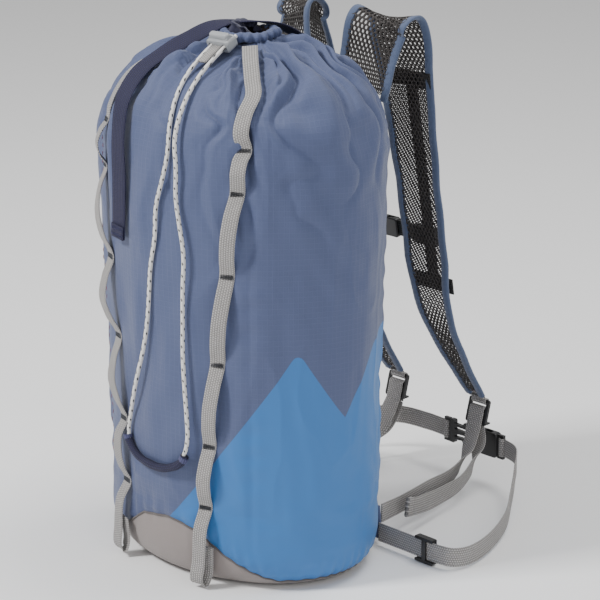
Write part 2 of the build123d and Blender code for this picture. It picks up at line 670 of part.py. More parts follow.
# Sewn bar on the back that the shoulder straps start from
YOKE_LOW, YOKE_HEIGHT, YOKE_BACK = 434.0, 11.0, 112.5
around_sack = oval_solid(inset_outline(-PIPING - 0.1))
with BuildPart() as strap_yoke:
    with BuildSketch(Plane.XY.offset(YOKE_LOW)):
        with Locations((0, YOKE_BACK - 10)):
            Rectangle(176, 20)
    extrude(amount=YOKE_HEIGHT)
    add(around_sack, mode=Mode.SUBTRACT)
save(strap_yoke.part, "strap_yoke")

# ---- Sternum strap ---------------------------------------------------------------------------------
STERNUM_HEIGHT = 293.0
SLIDER_LENGTH = 20.0
WEB_HALF = (STRAP_WIDTH - 5) / 2 + 0.4
WEB_LOW, WEB_HIGH = WEB_OFF - TAPE / 2 - 0.4, WEB_OFF + TAPE / 2 + 0.4
SLIDER_MIDDLE = on_strap(STERNUM_HEIGHT, 0)
# Looking down the strap: x is across it and y is off its face.
SLIDER_SECTION = Plane(origin=SLIDER_MIDDLE - STRAP_DOWN * SLIDER_LENGTH / 2, x_dir=(1, 0, 0),
                       z_dir=Vector(1, 0, 0).cross(STRAP_OUT))
SLIDER_WAY = SLIDER_SECTION.z_dir.dot(STRAP_DOWN)
SLIDER_INNER, SLIDER_OUTER = -19.0, WEB_HALF + 2.4
with BuildPart() as sternum_slider:
    with BuildSketch(SLIDER_SECTION):
        with Locations(((SLIDER_INNER + SLIDER_OUTER) / 2, (WEB_LOW - 1.4 + WEB_HIGH + 2.2) / 2)):
            Rectangle(SLIDER_OUTER - SLIDER_INNER, WEB_HIGH - WEB_LOW + 3.6)
        with Locations((0, WEB_OFF)):
            Rectangle(2 * WEB_HALF, WEB_HIGH - WEB_LOW, mode=Mode.SUBTRACT)
        with Locations((0, WEB_LOW - 1)):
            Rectangle(2 * WEB_HALF - 5, 4, mode=Mode.SUBTRACT)
    extrude(amount=SLIDER_LENGTH * SLIDER_WAY)
    fillet(sternum_slider.faces().sort_by(Axis(SLIDER_MIDDLE, STRAP_OUT))[-1].edges(), 1.2)
save(mirrored(sternum_slider.part), "sternum_slider_left")
save(sternum_slider.part, "sternum_slider_right")

STERNUM_OFF = WEB_OFF + 0.6
STERNUM_BUCKLE = 17.0  # half length of the closed buckle
slider_edge = SHOULDER_X + SLIDER_INNER
both_halves = [
    bar_of(on_strap(STERNUM_HEIGHT, STERNUM_OFF, side * (slider_edge - 0.05) - SHOULDER_X),
           on_strap(STERNUM_HEIGHT, STERNUM_OFF, side * (STERNUM_BUCKLE + 0.05) - SHOULDER_X),
           STRAP_DOWN, STERNUM_WIDTH)
    for side in (-1, 1)
]
with BuildPart() as sternum_webbing:
    add(both_halves)
save(sternum_webbing.part, "sternum_webbing")

STERNUM_PLATE = plate_plane(on_strap(STERNUM_HEIGHT, STERNUM_OFF, -SHOULDER_X), STRAP_DOWN, (1, 0, 0))
with BuildPart() as sternum_buckle_female:
    with BuildSketch(STERNUM_PLATE.offset(-3.6)):
        with Locations((0, 6.5)):
            RectangleRounded(21, 21, 3)
    extrude(amount=7.2)
    buckle_top = sternum_buckle_female.faces().sort_by(Axis(STERNUM_PLATE.origin, STERNUM_PLATE.z_dir))
    fillet(buckle_top[-1].edges(), 1.2)
    with BuildSketch(STERNUM_PLATE.offset(-2)):
        with Locations((0, 3)):
            Rectangle(16, 22)
        for x in (-9.5, 9.5):
            with Locations((x, 6.5)):
                Rectangle(6, 8)
    extrude(amount=4, mode=Mode.SUBTRACT)
save(sternum_buckle_female.part, "sternum_buckle_female")
with BuildPart() as sternum_buckle_male:
    with BuildSketch(STERNUM_PLATE.offset(-1.8)) as male_outline:
        with Locations((0, -10.5)):
            RectangleRounded(20.4, 13, 2.5)
        for x in (-6.3, 0, 6.3):
            with Locations((x, 3)):
                RectangleRounded(2.6, 19, 1.2)
        for x in (-7.8, 7.8):
            with Locations((x, 7)):
                RectangleRounded(4, 6, 1.2)
    extrude(amount=3.6)
save(sternum_buckle_male.part, "sternum_buckle_male")

# ---- Waist belt ------------------------------------------------------------------------------------
BELT_HEIGHT = 14.4  # middle of the belt where it lies on edge on the ground
UPRIGHT = (0, 0, 1)
MALE_PIVOT, MALE_WAY = Vector(0, 301, 46.5), Vector(1, 0, 0)
FEMALE_PIVOT, FEMALE_WAY = Vector(82, 299, 46.5), Vector(-1, 0, 0)
PIVOT_REACH = LOOP_INNER + TAPE / 2
LEFT_BELT = [
    (-104, 93, BELT_HEIGHT), (-121, 106, 14.8), (-132, 150, 20), (-128, 215, 31), (-106, 268, 41),
    (-70, 296, 46), (-30, 302, 46.5), MALE_PIVOT - MALE_WAY * PIVOT_REACH,
]
TRI_GLIDE_RUN = [Vector(103, 90.5, BELT_HEIGHT), Vector(186, 90.5, BELT_HEIGHT)]
RIGHT_BELT = [
    TRI_GLIDE_RUN[1] - Vector(4, 0, 0), TRI_GLIDE_RUN[1], (199, 96, 13.8), (204, 112, 12.5),
    (198, 146, 12.2), (172, 204, 14), (144, 244, 20), (124, 272, 33), (106, 293, 44.5),
    FEMALE_PIVOT - FEMALE_WAY * PIVOT_REACH,
]


left_band = webbing(LEFT_BELT, [UPRIGHT], STRAP_WIDTH, slices=30)
left_eye = round_bar(MALE_PIVOT, UPRIGHT, STRAP_WIDTH, LOOP_INNER + TAPE, LOOP_INNER)
with BuildPart() as waist_belt_left:
    add(left_band)
    add(left_eye)
save(waist_belt_left.part, "waist_belt_left")

straight_band = bar_of(*TRI_GLIDE_RUN, Vector(*UPRIGHT), STRAP_WIDTH)
curved_band = webbing(RIGHT_BELT, [UPRIGHT], STRAP_WIDTH, slices=40)
right_eye = round_bar(FEMALE_PIVOT, UPRIGHT, STRAP_WIDTH, LOOP_INNER + TAPE, LOOP_INNER)
with BuildPart() as waist_belt_right:
    add(straight_band)
    add(curved_band)
    add(right_eye)
save(waist_belt_right.part, "waist_belt_right")

BUCKLE_WIDTH, BUCKLE_THICK = INNER_WIDTH + 2 * 3, 8.6
RAIL_START, BODY_START = -2.6, 5.2


def buckle_eye(plane):
    """The webbing end of a side-release half: a round bar between two short rails."""
    bar = round_bar(plane.origin, plane.x_dir, INNER_WIDTH + 4)
    with BuildPart() as eye:
        add(bar)
        with BuildSketch(plane.offset(-BAR_RADIUS)):
            for x in (-1, 1):
                with Locations((x * (INNER_WIDTH / 2 + 1.5), (RAIL_START + BODY_START) / 2)):
                    Rectangle(3, BODY_START - RAIL_START + 0.4)
        extrude(amount=2 * BAR_RADIUS)
    return eye.part


MALE_PLATE = plate_plane(MALE_PIVOT, UPRIGHT, MALE_WAY)
MALE_LENGTH, MALE_BASE = 38.0, 13.0
male_eye = buckle_eye(MALE_PLATE)
with BuildPart() as waist_buckle_male:
    add(male_eye)
    with BuildSketch(MALE_PLATE.offset(-2.4)):
        with Locations((0, (BODY_START + MALE_BASE) / 2)):
            RectangleRounded(BUCKLE_WIDTH, MALE_BASE - BODY_START, 2)
        with BuildLine():  # centre guide
            Polyline((-2.6, MALE_BASE - 1), (2.6, MALE_BASE - 1), (1.8, MALE_LENGTH - 5),
                     (-1.8, MALE_LENGTH - 5), close=True)
        make_face()
        for x in (-1, 1):  # the two prongs and their catches
            with BuildLine():
                Polyline((x * 6, MALE_BASE - 1), (x * 9, MALE_BASE - 1), (x * 8.4, 24), (x * 12.4, 26),
                         (x * 12.8, 31), (x * 8.2, MALE_LENGTH), (x * 5.4, MALE_LENGTH), (x * 5.6, 26),
                         close=True)
            make_face()
    extrude(amount=4.8)
save(waist_buckle_male.part, "waist_buckle_male")

FEMALE_PLATE = plate_plane(FEMALE_PIVOT, UPRIGHT, FEMALE_WAY)
FEMALE_LENGTH = 33.0
female_eye = buckle_eye(FEMALE_PLATE)
with BuildPart() as waist_buckle_female:
    add(female_eye)
    with BuildSketch(FEMALE_PLATE.offset(-BUCKLE_THICK / 2)):
        with Locations((0, (BODY_START + FEMALE_LENGTH) / 2)):
            RectangleRounded(BUCKLE_WIDTH + 1, FEMALE_LENGTH - BODY_START, 4)
    extrude(amount=BUCKLE_THICK)
    fillet(waist_buckle_female.faces().sort_by(Axis(FEMALE_PIVOT, FEMALE_PLATE.z_dir))[-1].edges(), 1.6)
    with BuildSketch(FEMALE_PLATE.offset(-2.7)):
        with Locations((0, FEMALE_LENGTH - 11)):
            Rectangle(INNER_WIDTH + 1.4, 24)
        with Locations((0, FEMALE_LENGTH - 14)):
            Rectangle(BUCKLE_WIDTH + 6, 10)
    extrude(amount=5.4, mode=Mode.SUBTRACT)
save(waist_buckle_female.part, "waist_buckle_female")

# Tri-glide on the straight stretch of the near belt: outer bars in front, middle bar behind
TRI_GLIDE = plate_plane((168, 90.5, BELT_HEIGHT), UPRIGHT, (1, 0, 0))
GLIDE_LENGTH, GLIDE_BAR = 24.0, 4.4
BAR_NEAR, BAR_FAR = TAPE / 2 + 0.4, TAPE / 2 + 2.6
with BuildPart() as tri_glide:
    with BuildSketch(TRI_GLIDE.offset(-BAR_FAR)):
        for x in (-1, 1):
            with Locations((x * (INNER_WIDTH / 2 + 1.45), 0)):
                RectangleRounded(2.9, GLIDE_LENGTH, 1.2)
    extrude(amount=2 * BAR_FAR)
    with BuildSketch(TRI_GLIDE.offset(BAR_NEAR)):
        for y in (-1, 1):
            with Locations((0, y * (GLIDE_LENGTH - GLIDE_BAR) / 2)):
                Rectangle(INNER_WIDTH + 3, GLIDE_BAR)
    extrude(amount=BAR_FAR - BAR_NEAR)
    with BuildSketch(TRI_GLIDE.offset(-BAR_FAR)):
        Rectangle(INNER_WIDTH + 3, GLIDE_BAR + 1)
    extrude(amount=BAR_FAR - BAR_NEAR)
save(tri_glide.part, "tri_glide")

# Corner tabs at the foot of the back, which the belt and the adjuster webbing are sewn into
with BuildPart() as corner_tab:
    with BuildSketch(Plane.XY.offset(4.5)):
        with Locations((92, 92.5)):
            Rectangle(21, 9)
    extrude(amount=38)
    add(around_sack, mode=Mode.SUBTRACT)
save(corner_tab.part, "corner_tab_right")
save(mirrored(corner_tab.part), "corner_tab_left")
print("pull tab length", round(pull_tab_length, 1))
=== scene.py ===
import math
import bmesh
import bpy
import numpy as np
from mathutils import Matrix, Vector, noise


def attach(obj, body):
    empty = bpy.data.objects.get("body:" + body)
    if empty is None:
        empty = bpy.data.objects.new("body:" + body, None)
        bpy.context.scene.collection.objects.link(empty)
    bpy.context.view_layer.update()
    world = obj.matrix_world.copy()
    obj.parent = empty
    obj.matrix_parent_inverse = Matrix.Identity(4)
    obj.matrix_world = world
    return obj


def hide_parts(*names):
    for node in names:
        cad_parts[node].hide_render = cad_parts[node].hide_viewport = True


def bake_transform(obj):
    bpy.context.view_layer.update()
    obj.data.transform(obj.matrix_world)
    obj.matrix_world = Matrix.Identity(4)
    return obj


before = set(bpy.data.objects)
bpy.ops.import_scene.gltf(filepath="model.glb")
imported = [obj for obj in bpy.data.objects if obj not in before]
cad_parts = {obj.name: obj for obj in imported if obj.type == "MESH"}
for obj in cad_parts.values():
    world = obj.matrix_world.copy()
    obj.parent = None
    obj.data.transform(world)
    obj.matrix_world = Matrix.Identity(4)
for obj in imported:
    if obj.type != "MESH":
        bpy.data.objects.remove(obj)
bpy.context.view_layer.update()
MM = 0.001

# ---- Camera ----
AZIMUTH, ELEVATION, DISTANCE = math.radians(46.4), math.radians(16.8), 2.4
AIM = Vector((0.0392, 0.0411, 0.2552))
back = Vector((math.sin(AZIMUTH) * math.cos(ELEVATION), -math.cos(AZIMUTH) * math.cos(ELEVATION),
               math.sin(ELEVATION)))
camera = bpy.data.objects.new("camera", bpy.data.cameras.new("camera"))
bpy.context.scene.collection.objects.link(camera)
camera.location = AIM + back * DISTANCE
camera.rotation_euler = back.to_track_quat("Z", "Y").to_euler()
camera.data.lens = 145.9
bpy.context.scene.camera = camera


# ---- Materials ----
class Nodes:
    """Short way to write a material's nodes."""

    def __init__(self, name, rough=0.8, sheen=0.0):
        self.mat = bpy.data.materials.new(name)
        self.mat.use_nodes = True
        self.tree = self.mat.node_tree
        self.bsdf = self.tree.nodes["Principled BSDF"]
        self.bsdf.inputs["Roughness"].default_value = rough
        if sheen:
            self.bsdf.inputs["Sheen Weight"].default_value = sheen
            self.bsdf.inputs["Sheen Roughness"].default_value = 0.5

    def add(self, kind):
        return self.tree.nodes.new(kind)

    def link(self, a, out, b, into):
        self.tree.links.new(a.outputs[out], b.inputs[into])

    def math(self, operation, a, b=None, c=None):
        node = self.tree.nodes.new("ShaderNodeMath")
        node.operation = operation
        for i, value in enumerate((a, b, c)):
            if value is None:
                continue
            if isinstance(value, (int, float)):
                node.inputs[i].default_value = value
            else:
                self.tree.links.new(value, node.inputs[i])
        return node.outputs[0]

    def mix(self, factor, low, high):
        node = self.tree.nodes.new("ShaderNodeMix")
        node.data_type = "RGBA"
        sockets = (node.inputs[0], node.inputs[6], node.inputs[7])
        for socket, value in zip(sockets, (factor, low, high)):
            if isinstance(value, (int, float)):
                socket.default_value = value
            elif isinstance(value, (tuple, list)):
                socket.default_value = (*value, 1.0)
            else:
                self.tree.links.new(value, socket)
        return node.outputs[2]

    def uv(self):
        uv = self.add("ShaderNodeUVMap")
        split = self.add("ShaderNodeSeparateXYZ")
        self.link(uv, 0, split, 0)
        return split.outputs[0], split.outputs[1]

    def wave(self, coordinate, period):
        """0 to 1 sine along a coordinate in metres."""
        turned = self.math("MULTIPLY_ADD", coordinate, 2 * math.pi / period, 0.0)
        return self.math("MULTIPLY_ADD", self.math("SINE", turned), 0.5, 0.5)

    def bump(self, height, strength, distance):
        node = self.add("ShaderNodeBump")
        node.inputs["Strength"].default_value = strength
        node.inputs["Distance"].default_value = distance
        self.tree.links.new(height, node.inputs["Height"])
        self.link(node, 0, self.bsdf, "Normal")

    def noise(self, scale, detail=2.0):
        node = self.add("ShaderNodeTexNoise")
        where = self.add("ShaderNodeTexCoord")
        node.inputs["Scale"].default_value = scale
        node.inputs["Detail"].default_value = detail
        self.link(where, "Object", node, "Vector")
        return node.outputs[0]

    def color(self, value):
        if isinstance(value, (tuple, list)):
            self.bsdf.inputs["Base Color"].default_value = (*value, 1.0)
        else:
            self.tree.links.new(value, self.bsdf.inputs["Base Color"])


def cloth_material(name, color, rough, weave, ripstop=0.0, sheen=0.15, bump=0.35, mottled=0.08):
    """Woven fabric: fine threads both ways, and raised ripstop threads on a grid if any, painted lighter
    where they rise (painted highlight) over a random mottled tone.
    """
    n = Nodes(name, rough, sheen)
    u, v = n.uv()
    threads = n.math("MULTIPLY", n.wave(u, weave), n.wave(v, weave))
    height, factor = threads, n.math("MULTIPLY", threads, 0.10)
    if ripstop:
        grid = n.math("MAXIMUM", n.math("POWER", n.wave(u, ripstop), 24.0),
                      n.math("POWER", n.wave(v, ripstop), 24.0))
        height = n.math("MULTIPLY_ADD", grid, 1.2, threads)
        factor = n.math("MULTIPLY_ADD", grid, 0.16, factor)
    factor = n.math("ADD", factor, n.math("MULTIPLY", n.noise(38.0, 5.0), mottled))
    # painted highlight: the colour is lighter on the raised threads and the ripstop grid; the noise part is a
    # real random tone
    light = tuple(min(1.0, c * 1.45 + 0.02) for c in color)
    n.color(n.mix(factor, color, light))
    n.bump(height, bump, 0.0004)
    return n.mat


def webbing_material(name, color, rib=0.0024, rough=0.75, bump=0.9):
    """Webbing: rows of raised picks across it, with painted shade in the gaps between them and painted
    highlight on the picks.
    """
    n = Nodes(name, rough, 0.05)
    u, v = n.uv()
    lengthwise = n.wave(v, 0.0024)
    shifted = n.math("MULTIPLY_ADD", n.math("GREATER_THAN", n.wave(v, 0.0048), 0.5), rib / 2, u)
    picks = n.math("MULTIPLY", n.wave(shifted, rib), lengthwise)
    # painted shade: the colour is darkened in the gaps between the picks
    dark = tuple(c * 0.36 for c in color)
    # painted highlight: the colour is lightened on the raised picks
    light = tuple(min(1.0, c * 1.3 + 0.002) for c in color)
    factor = n.math("ADD", n.math("MULTIPLY", n.noise(160.0, 3.0), 0.2), n.math("POWER", picks, 0.7))
    n.color(n.mix(factor, dark, light))
    n.bump(picks, bump, 0.0006)
    return n.mat


def plastic_material(name, color, rough=0.32, clear=0.0):
    n = Nodes(name, rough)
    n.color(color)
    n.bsdf.inputs["Transmission Weight"].default_value = clear
    grain = n.noise(900.0, 2.0)
    n.bump(grain, 0.05, 0.0002)
    return n.mat


SLATE, SKY, TAUPE = (0.057, 0.078, 0.170), (0.022, 0.145, 0.40), (0.245, 0.212, 0.202)
NAVY, GREY = (0.007, 0.007, 0.048), (0.40, 0.385, 0.375)
slate_cloth = cloth_material("slate_ripstop", SLATE, 0.62, 0.0009, 0.0052)
sky_cloth = cloth_material("sky_coated", SKY, 0.5, 0.0008, 0.0, 0.05, 0.18, 0.05)
taupe_cloth = cloth_material("taupe_base", TAUPE, 0.8, 0.0011, 0.0, 0.2, 0.5)
navy_cloth = cloth_material("navy_facing", (0.010, 0.011, 0.042), 0.7, 0.0009, 0.0, 0.2, 0.4)
dark_lining = cloth_material("dark_lining", (0.045, 0.028, 0.022), 0.6, 0.0009, 0.0, 0.1, 0.3)
binding_cloth = cloth_material("slate_binding", (0.060, 0.088, 0.165), 0.7, 0.0008, 0.0, 0.25, 0.4)
piping_cloth = cloth_material("dark_piping", (0.10, 0.085, 0.08), 0.8, 0.0008, 0.0, 0.2, 0.4)
grey_web = webbing_material("grey_webbing", GREY)
navy_web = webbing_material("navy_webbing", NAVY)
black_web = webbing_material("black_webbing", (0.016, 0.016, 0.017))
olive_web = webbing_material("olive_webbing", (0.075, 0.08, 0.07))
WEBBING_SLOT = {grey_web: "grey_webbing", navy_web: "navy_webbing", black_web: "black_webbing",
                olive_web: "olive_webbing"}
red_thread = webbing_material("red_thread", (0.30, 0.018, 0.03), 0.0011)
grey_thread = webbing_material("grey_thread", (0.50, 0.49, 0.48), 0.0011)
tack_thread = webbing_material("tack_thread", (0.17, 0.18, 0.215), 0.0011)
navy_thread = webbing_material("navy_thread", (0.075, 0.08, 0.20), 0.0011)
mesh_yarn = webbing_material("mesh_yarn", (0.055, 0.046, 0.043), 0.0007, 0.7)
black_plastic = plastic_material("black_acetal", (0.014, 0.014, 0.015), 0.3)
grey_plastic = plastic_material("grey_clear", (0.50, 0.52, 0.54), 0.22, 0.35)
steel = plastic_material("steel_wire", (0.6, 0.6, 0.6), 0.25)
steel.node_tree.nodes["Principled BSDF"].inputs["Metallic"].default_value = 1.0
foam_black = plastic_material("foam", (0.06, 0.06, 0.065), 0.95)


def cord_material():
    """White braid with pairs of black flecks that spiral round it; the braid's grooves are painted darker
    (painted shade).
    """
    n = Nodes("flecked_cord", 0.7, 0.2)
    u, v = n.uv()
    length = CORD_LENGTH
    along = n.math("MULTIPLY", u, length)
    turn = n.math("MULTIPLY", v, 2 * math.pi)
    twice = n.math("MULTIPLY", turn, 2.0)
    one = n.math("SINE", n.math("MULTIPLY_ADD", along, 2 * math.pi / 0.0112, twice))
    other = n.math("SINE", n.math("SUBTRACT", n.math("MULTIPLY", along, 2 * math.pi / 0.0112), twice))
    marks = n.math("MULTIPLY", n.math("GREATER_THAN", one, 0.62), n.math("GREATER_THAN", other, 0.30))
    braid = n.math("MULTIPLY", n.wave(along, 0.0022), n.wave(v, 0.25))
    # painted shade: the white is greyer in the braid's grooves and lighter on its ridges
    n.color(n.mix(marks, n.mix(n.math("MULTIPLY", braid, 0.5), (0.70, 0.69, 0.67), (0.86, 0.85, 0.83)),
                  (0.02, 0.018, 0.022)))
    n.bump(braid, 0.7, 0.0004)
    return n.mat


# ---- Cord ----
CORD_ROUTE = [
    (4, -26, 524.5), (8.6, -63.4, 506), (17, -95, 482.5), (26, -113.5, 455), (30, -119, 428),
    (23, -120.5, 402), (13, -121.5, 374), (12, -120.8, 345), (4, -121, 316), (1, -120.4, 289),
    (-2, -120.6, 259), (-10, -119.6, 228), (-24, -119, 191), (-34, -117, 158), (-41, -116, 133),
    (-27, -118, 118), (-4, -119.6, 113), (20, -119.8, 115), (42, -118, 127), (50, -116.5, 148),
    (48.5, -116.8, 177), (46.5, -117.4, 206), (45.2, -117.8, 237), (46.4, -118, 269),
    (47.2, -118.4, 301), (50, -118.2, 334), (45, -119.2, 362), (40.5, -120, 389),
    (42.2, -119.6, 416), (38, -118.6, 441), (36.5, -110.5, 463), (32, -93, 484.5),
    (24.6, -61.4, 506), (20, -24, 524.5),
]
CORD_LENGTH, CORD_DIAMETER = 0.986, 0.004


def nurbs_tube(name, route, radius, material, cyclic=False):
    curve = bpy.data.curves.new(name, "CURVE")
    curve.dimensions = "3D"
    spline = curve.splines.new("NURBS")
    spline.points.add(len(route) - 1)
    for point, place in zip(spline.points, route):
        point.co = (*[c * MM for c in place], 1.0)
    spline.order_u = 3
    spline.use_endpoint_u = not cyclic
    spline.use_cyclic_u = cyclic
    spline.resolution_u = 10
    curve.bevel_depth = radius
    curve.bevel_resolution = 4
    curve.use_fill_caps = True
    curve.materials.append(material)
    obj = bpy.data.objects.new(name, curve)
    bpy.context.scene.collection.objects.link(obj)
    return obj


drawcord = nurbs_tube("drawcord_loop", CORD_ROUTE, CORD_DIAMETER / 2, cord_material())
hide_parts("drawcord")
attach(drawcord, "bag")


# ---- Geometry helpers ----
def grid_faces(n, m, around=True, looped=False, flipped=False):
    """Quads between n rows of m points: round each row if around, and last row to first if looped."""
    faces = []
    for i in range(n if looped else n - 1):
        for j in range(m if around else m - 1):
            a, b = i * m + j, i * m + (j + 1) % m
            d, c = (i + 1) % n * m + j, (i + 1) % n * m + (j + 1) % m
            faces.append((a, d, c, b) if flipped else (a, b, c, d))
    return faces


def dress(obj, slot, *nodes):
    """Hides the CAD nodes that a piece is seen instead of; its slot is not used."""
    if nodes:
        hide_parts(*nodes)


def mesh_object(name, points, faces, material, body=None, uvs=None, smooth=True):
    mesh = bpy.data.meshes.new(name)
    mesh.from_pydata([tuple(p) for p in points], [], faces)
    mesh.update()
    if uvs is not None:
        layer = mesh.uv_layers.new(name="UVMap")
        index = np.empty(len(mesh.loops), np.int64)
        mesh.loops.foreach_get("vertex_index", index)
        layer.data.foreach_set("uv", np.asarray(uvs, np.float32)[index].ravel())
    if smooth:
        mesh.polygons.foreach_set("use_smooth", [True] * len(mesh.polygons))
    mesh.materials.append(material)
    obj = bpy.data.objects.new(name, mesh)
    bpy.context.scene.collection.objects.link(obj)
    if body:
        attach(obj, body)
    return obj


def catmull(points, step):
    """Smooth line through points, resampled at about even steps, with the share of the way."""
    p = np.asarray(points, float)
    p = np.vstack([2 * p[0] - p[1], p, 2 * p[-1] - p[-2]])
    dense, place = [], []
    for i in range(1, len(p) - 2):
        gaps = [max(np.linalg.norm(p[i + k + 1][:3] - p[i + k][:3]), 1e-9) ** 0.5 for k in (-1, 0, 1)]
        t0, t1 = 0.0, gaps[0]
        t2, t3 = t1 + gaps[1], t1 + gaps[1] + gaps[2]
        for t in np.linspace(t1, t2, 24, endpoint=False):
            a1 = (t1 - t) / (t1 - t0) * p[i - 1] + (t - t0) / (t1 - t0) * p[i]
            a2 = (t2 - t) / (t2 - t1) * p[i] + (t - t1) / (t2 - t1) * p[i + 1]
            a3 = (t3 - t) / (t3 - t2) * p[i + 1] + (t - t2) / (t3 - t2) * p[i + 2]
            b1 = (t2 - t) / (t2 - t0) * a1 + (t - t0) / (t2 - t0) * a2
            b2 = (t3 - t) / (t3 - t1) * a2 + (t - t1) / (t3 - t1) * a3
            dense.append((t2 - t) / (t2 - t1) * b1 + (t - t1) / (t2 - t1) * b2)
            place.append(i - 1 + (t - t1) / (t2 - t1))
    dense.append(p[-2])
    place.append(len(p) - 3)
    dense, place = np.array(dense), np.array(place)
    run = np.concatenate([[0], np.cumsum(np.linalg.norm(np.diff(dense[:, :3], axis=0), axis=1))])
    count = max(4, int(round(run[-1] / step)) + 1)
    even = np.linspace(0, run[-1], count)
    line = np.stack([np.interp(even, run, dense[:, k]) for k in range(3)], 1)
    return line, np.interp(even, run, place) / (len(p) - 3), even


def unit(v):
    v = np.asarray(v, float)
    return v / np.maximum(np.linalg.norm(v, axis=-1, keepdims=True), 1e-12)


LOWER_EDGE = [(-0.5, -0.22), (-0.47, -0.5), (-0.25, -0.5), (0.0, -0.5), (0.25, -0.5), (0.47, -0.5),
              (0.5, -0.22)]
BAND_SECTION = np.array(LOWER_EDGE + [(-a, -b) for a, b in LOWER_EDGE])


def ribbon(name, points, across, width, thickness, material, body=None, step=1.6, sway=0.0, seed=0.0,
           node=None, slot=None):
    """Band in millimetres along a line, with the weave's directions in its UVs."""
    line, share, run = catmull(points, step)
    across = np.asarray(across, float)
    knots = np.linspace(0, 1, len(across))
    side = np.stack([np.interp(share, knots, across[:, k]) for k in range(3)], 1) \
        if len(across) > 1 else np.repeat(across, len(line), 0)
    along = unit(np.gradient(line, axis=0))
    side = unit(side - along * (side * along).sum(1, keepdims=True))
    face = np.cross(side, along)
    if sway:
        wobble = np.array([noise.noise(Vector((r * 0.021 + seed, seed * 3.1, 0.5))) for r in run])
        fade = np.clip(np.minimum(run, run[-1] - run) / 14.0, 0, 1)
        turn = (sway * wobble * fade)[:, None]
        side, face = side * np.cos(turn) + face * np.sin(turn), face * np.cos(turn) - side * np.sin(turn)
    n, m = len(line), len(BAND_SECTION)
    wide, thick = BAND_SECTION[:, 0] * width, BAND_SECTION[:, 1] * thickness
    pts = line[:, None, :] + side[:, None, :] * wide[None, :, None] + face[:, None, :] * thick[None, :, None]
    uvs = np.stack([np.repeat(run[:, None], m, 1), np.repeat(wide[None, :], n, 0)], 2) * MM
    faces = grid_faces(n, m) + [tuple(range(m - 1, -1, -1)), tuple((n - 1) * m + j for j in range(m))]
    faces = [f[::-1] for f in faces]
    obj = mesh_object(name, pts.reshape(-1, 3) * MM, faces, material, body, uvs.reshape(-1, 2))
    dress(obj, slot or WEBBING_SLOT[material], *([node] if node else []))
    return obj


def zigzag(name, centre, along, side, face, length, width, material, body, slot, pitch, radius):
    """A bar tack: thread that goes back and forth across a short length."""
    centre, along, side, face = (np.asarray(a, float) for a in (centre, along, side, face))
    count = int(length / pitch) * 2
    pts = []
    for i in range(count + 1):
        s = -length / 2 + length * i / count
        pts.append(centre + along * s + side * (width / 2 if i % 2 else -width / 2) + face * 0.1)
    dress(tube_mesh(name, pts, radius, material, body, 5), slot)


def tube_mesh(name, pts, radius, material, body, sides=8, flat=1.0, up=(0, 0, 1), closed=False):
    pts = np.asarray(pts, float)
    if closed:
        along = unit(np.roll(pts, -1, 0) - np.roll(pts, 1, 0))
    else:
        along = unit(np.gradient(pts, axis=0))
    a = unit(np.cross(along, np.asarray(up, float)))
    b = np.cross(a, along)
    radius = np.broadcast_to(np.asarray(radius, float), (len(pts),))
    turn = np.linspace(0, 2 * math.pi, sides, endpoint=False)
    ring = (np.cos(turn)[None, :, None] * a[:, None, :] + np.sin(turn)[None, :, None] * flat * b[:, None, :])
    v = pts[:, None, :] + ring * radius[:, None, None]
    n = len(pts)
    run = np.concatenate([[0], np.cumsum(np.linalg.norm(np.diff(pts, axis=0), axis=1))])
    uvs = np.stack([np.repeat(run[:, None], sides, 1),
                    np.repeat((turn * radius.mean())[None, :], n, 0)], 2) * MM
    faces = grid_faces(n, sides, looped=closed, flipped=True)
    if not closed:
        faces += [tuple(range(sides)), tuple((n - 1) * sides + j for j in range(sides - 1, -1, -1))]
    return mesh_object(name, v.reshape(-1, 3) * MM, faces, material, body, uvs.reshape(-1, 2))


# ---- The sack's form ----
OUTLINE = np.array([
    (0, 118, 84, 0, 0), (3, 133, 97, 0, 0), (11, 143, 106, 0, 0), (26, 150, 112, 0, 0),
    (70, 152, 113.5, 0, 0), (150, 153.5, 115, 0, 0), (230, 155, 116, 0, 0), (310, 156.5, 117, 0, 0),
    (390, 158, 118, 0, 0), (430, 156, 116.5, 0, 0), (458, 146, 109, 1, 0), (478, 127, 96, 2, 1),
    (493, 100, 77, 4, 2), (504, 70, 54, 6, 3), (512, 44, 34, 7, 4), (518, 27, 21, 8, 5),
], float)
SEAM_X, SEAM_Z = (-200, -92, -24, 16, 52, 116, 200), (8, 8, 55, 63, 54, 8, 8)
SEAMS = (227.0, 313.0, 41.0, 139.0)
TACKS_LEFT = [(-90, 438), (-87, 396), (-76, 308), (-67, 229), (-56, 148), (-50, 84)]
TACKS_RIGHT = [(101, 438), (97, 396), (88, 318), (77, 231), (67, 148), (61, 84)]
TOP_STRAP = [(4, 102, 482), (7, 78, 505), (8, 40, 526), (-2, 12, 531.5), (-16, -14, 530), (-28, -38, 519),
             (-38, -62, 507), (-42, -92, 491), (-40, -114, 468), (-39, -121.5, 436), (-40, -121, 390),
             (-44, -119.5, 333)]
AROUND, ROWS = 480, 300


def outline_table():
    step = np.zeros(len(OUTLINE))
    step[1:] = np.cumsum(np.hypot(np.diff(OUTLINE[:, 0]), np.diff(OUTLINE[:, 1])))
    slopes = np.gradient(OUTLINE, step, axis=0)
    rows = np.linspace(0, step[-1], ROWS)
    out = np.empty((ROWS, 5))
    for r, s in enumerate(rows):
        k = min(np.searchsorted(step, s, side="right") - 1, len(step) - 2)
        h = step[k + 1] - step[k]
        t = (s - step[k]) / h
        out[r] = ((2 * t**3 - 3 * t**2 + 1) * OUTLINE[k] + (t**3 - 2 * t**2 + t) * h * slopes[k]
                  + (3 * t**2 - 2 * t**3) * OUTLINE[k + 1] + (t**3 - t**2) * h * slopes[k + 1])
    return rows, out


ROW_RUN, ROW_OVAL = outline_table()
THETA = np.linspace(0, 2 * math.pi, AROUND, endpoint=False)


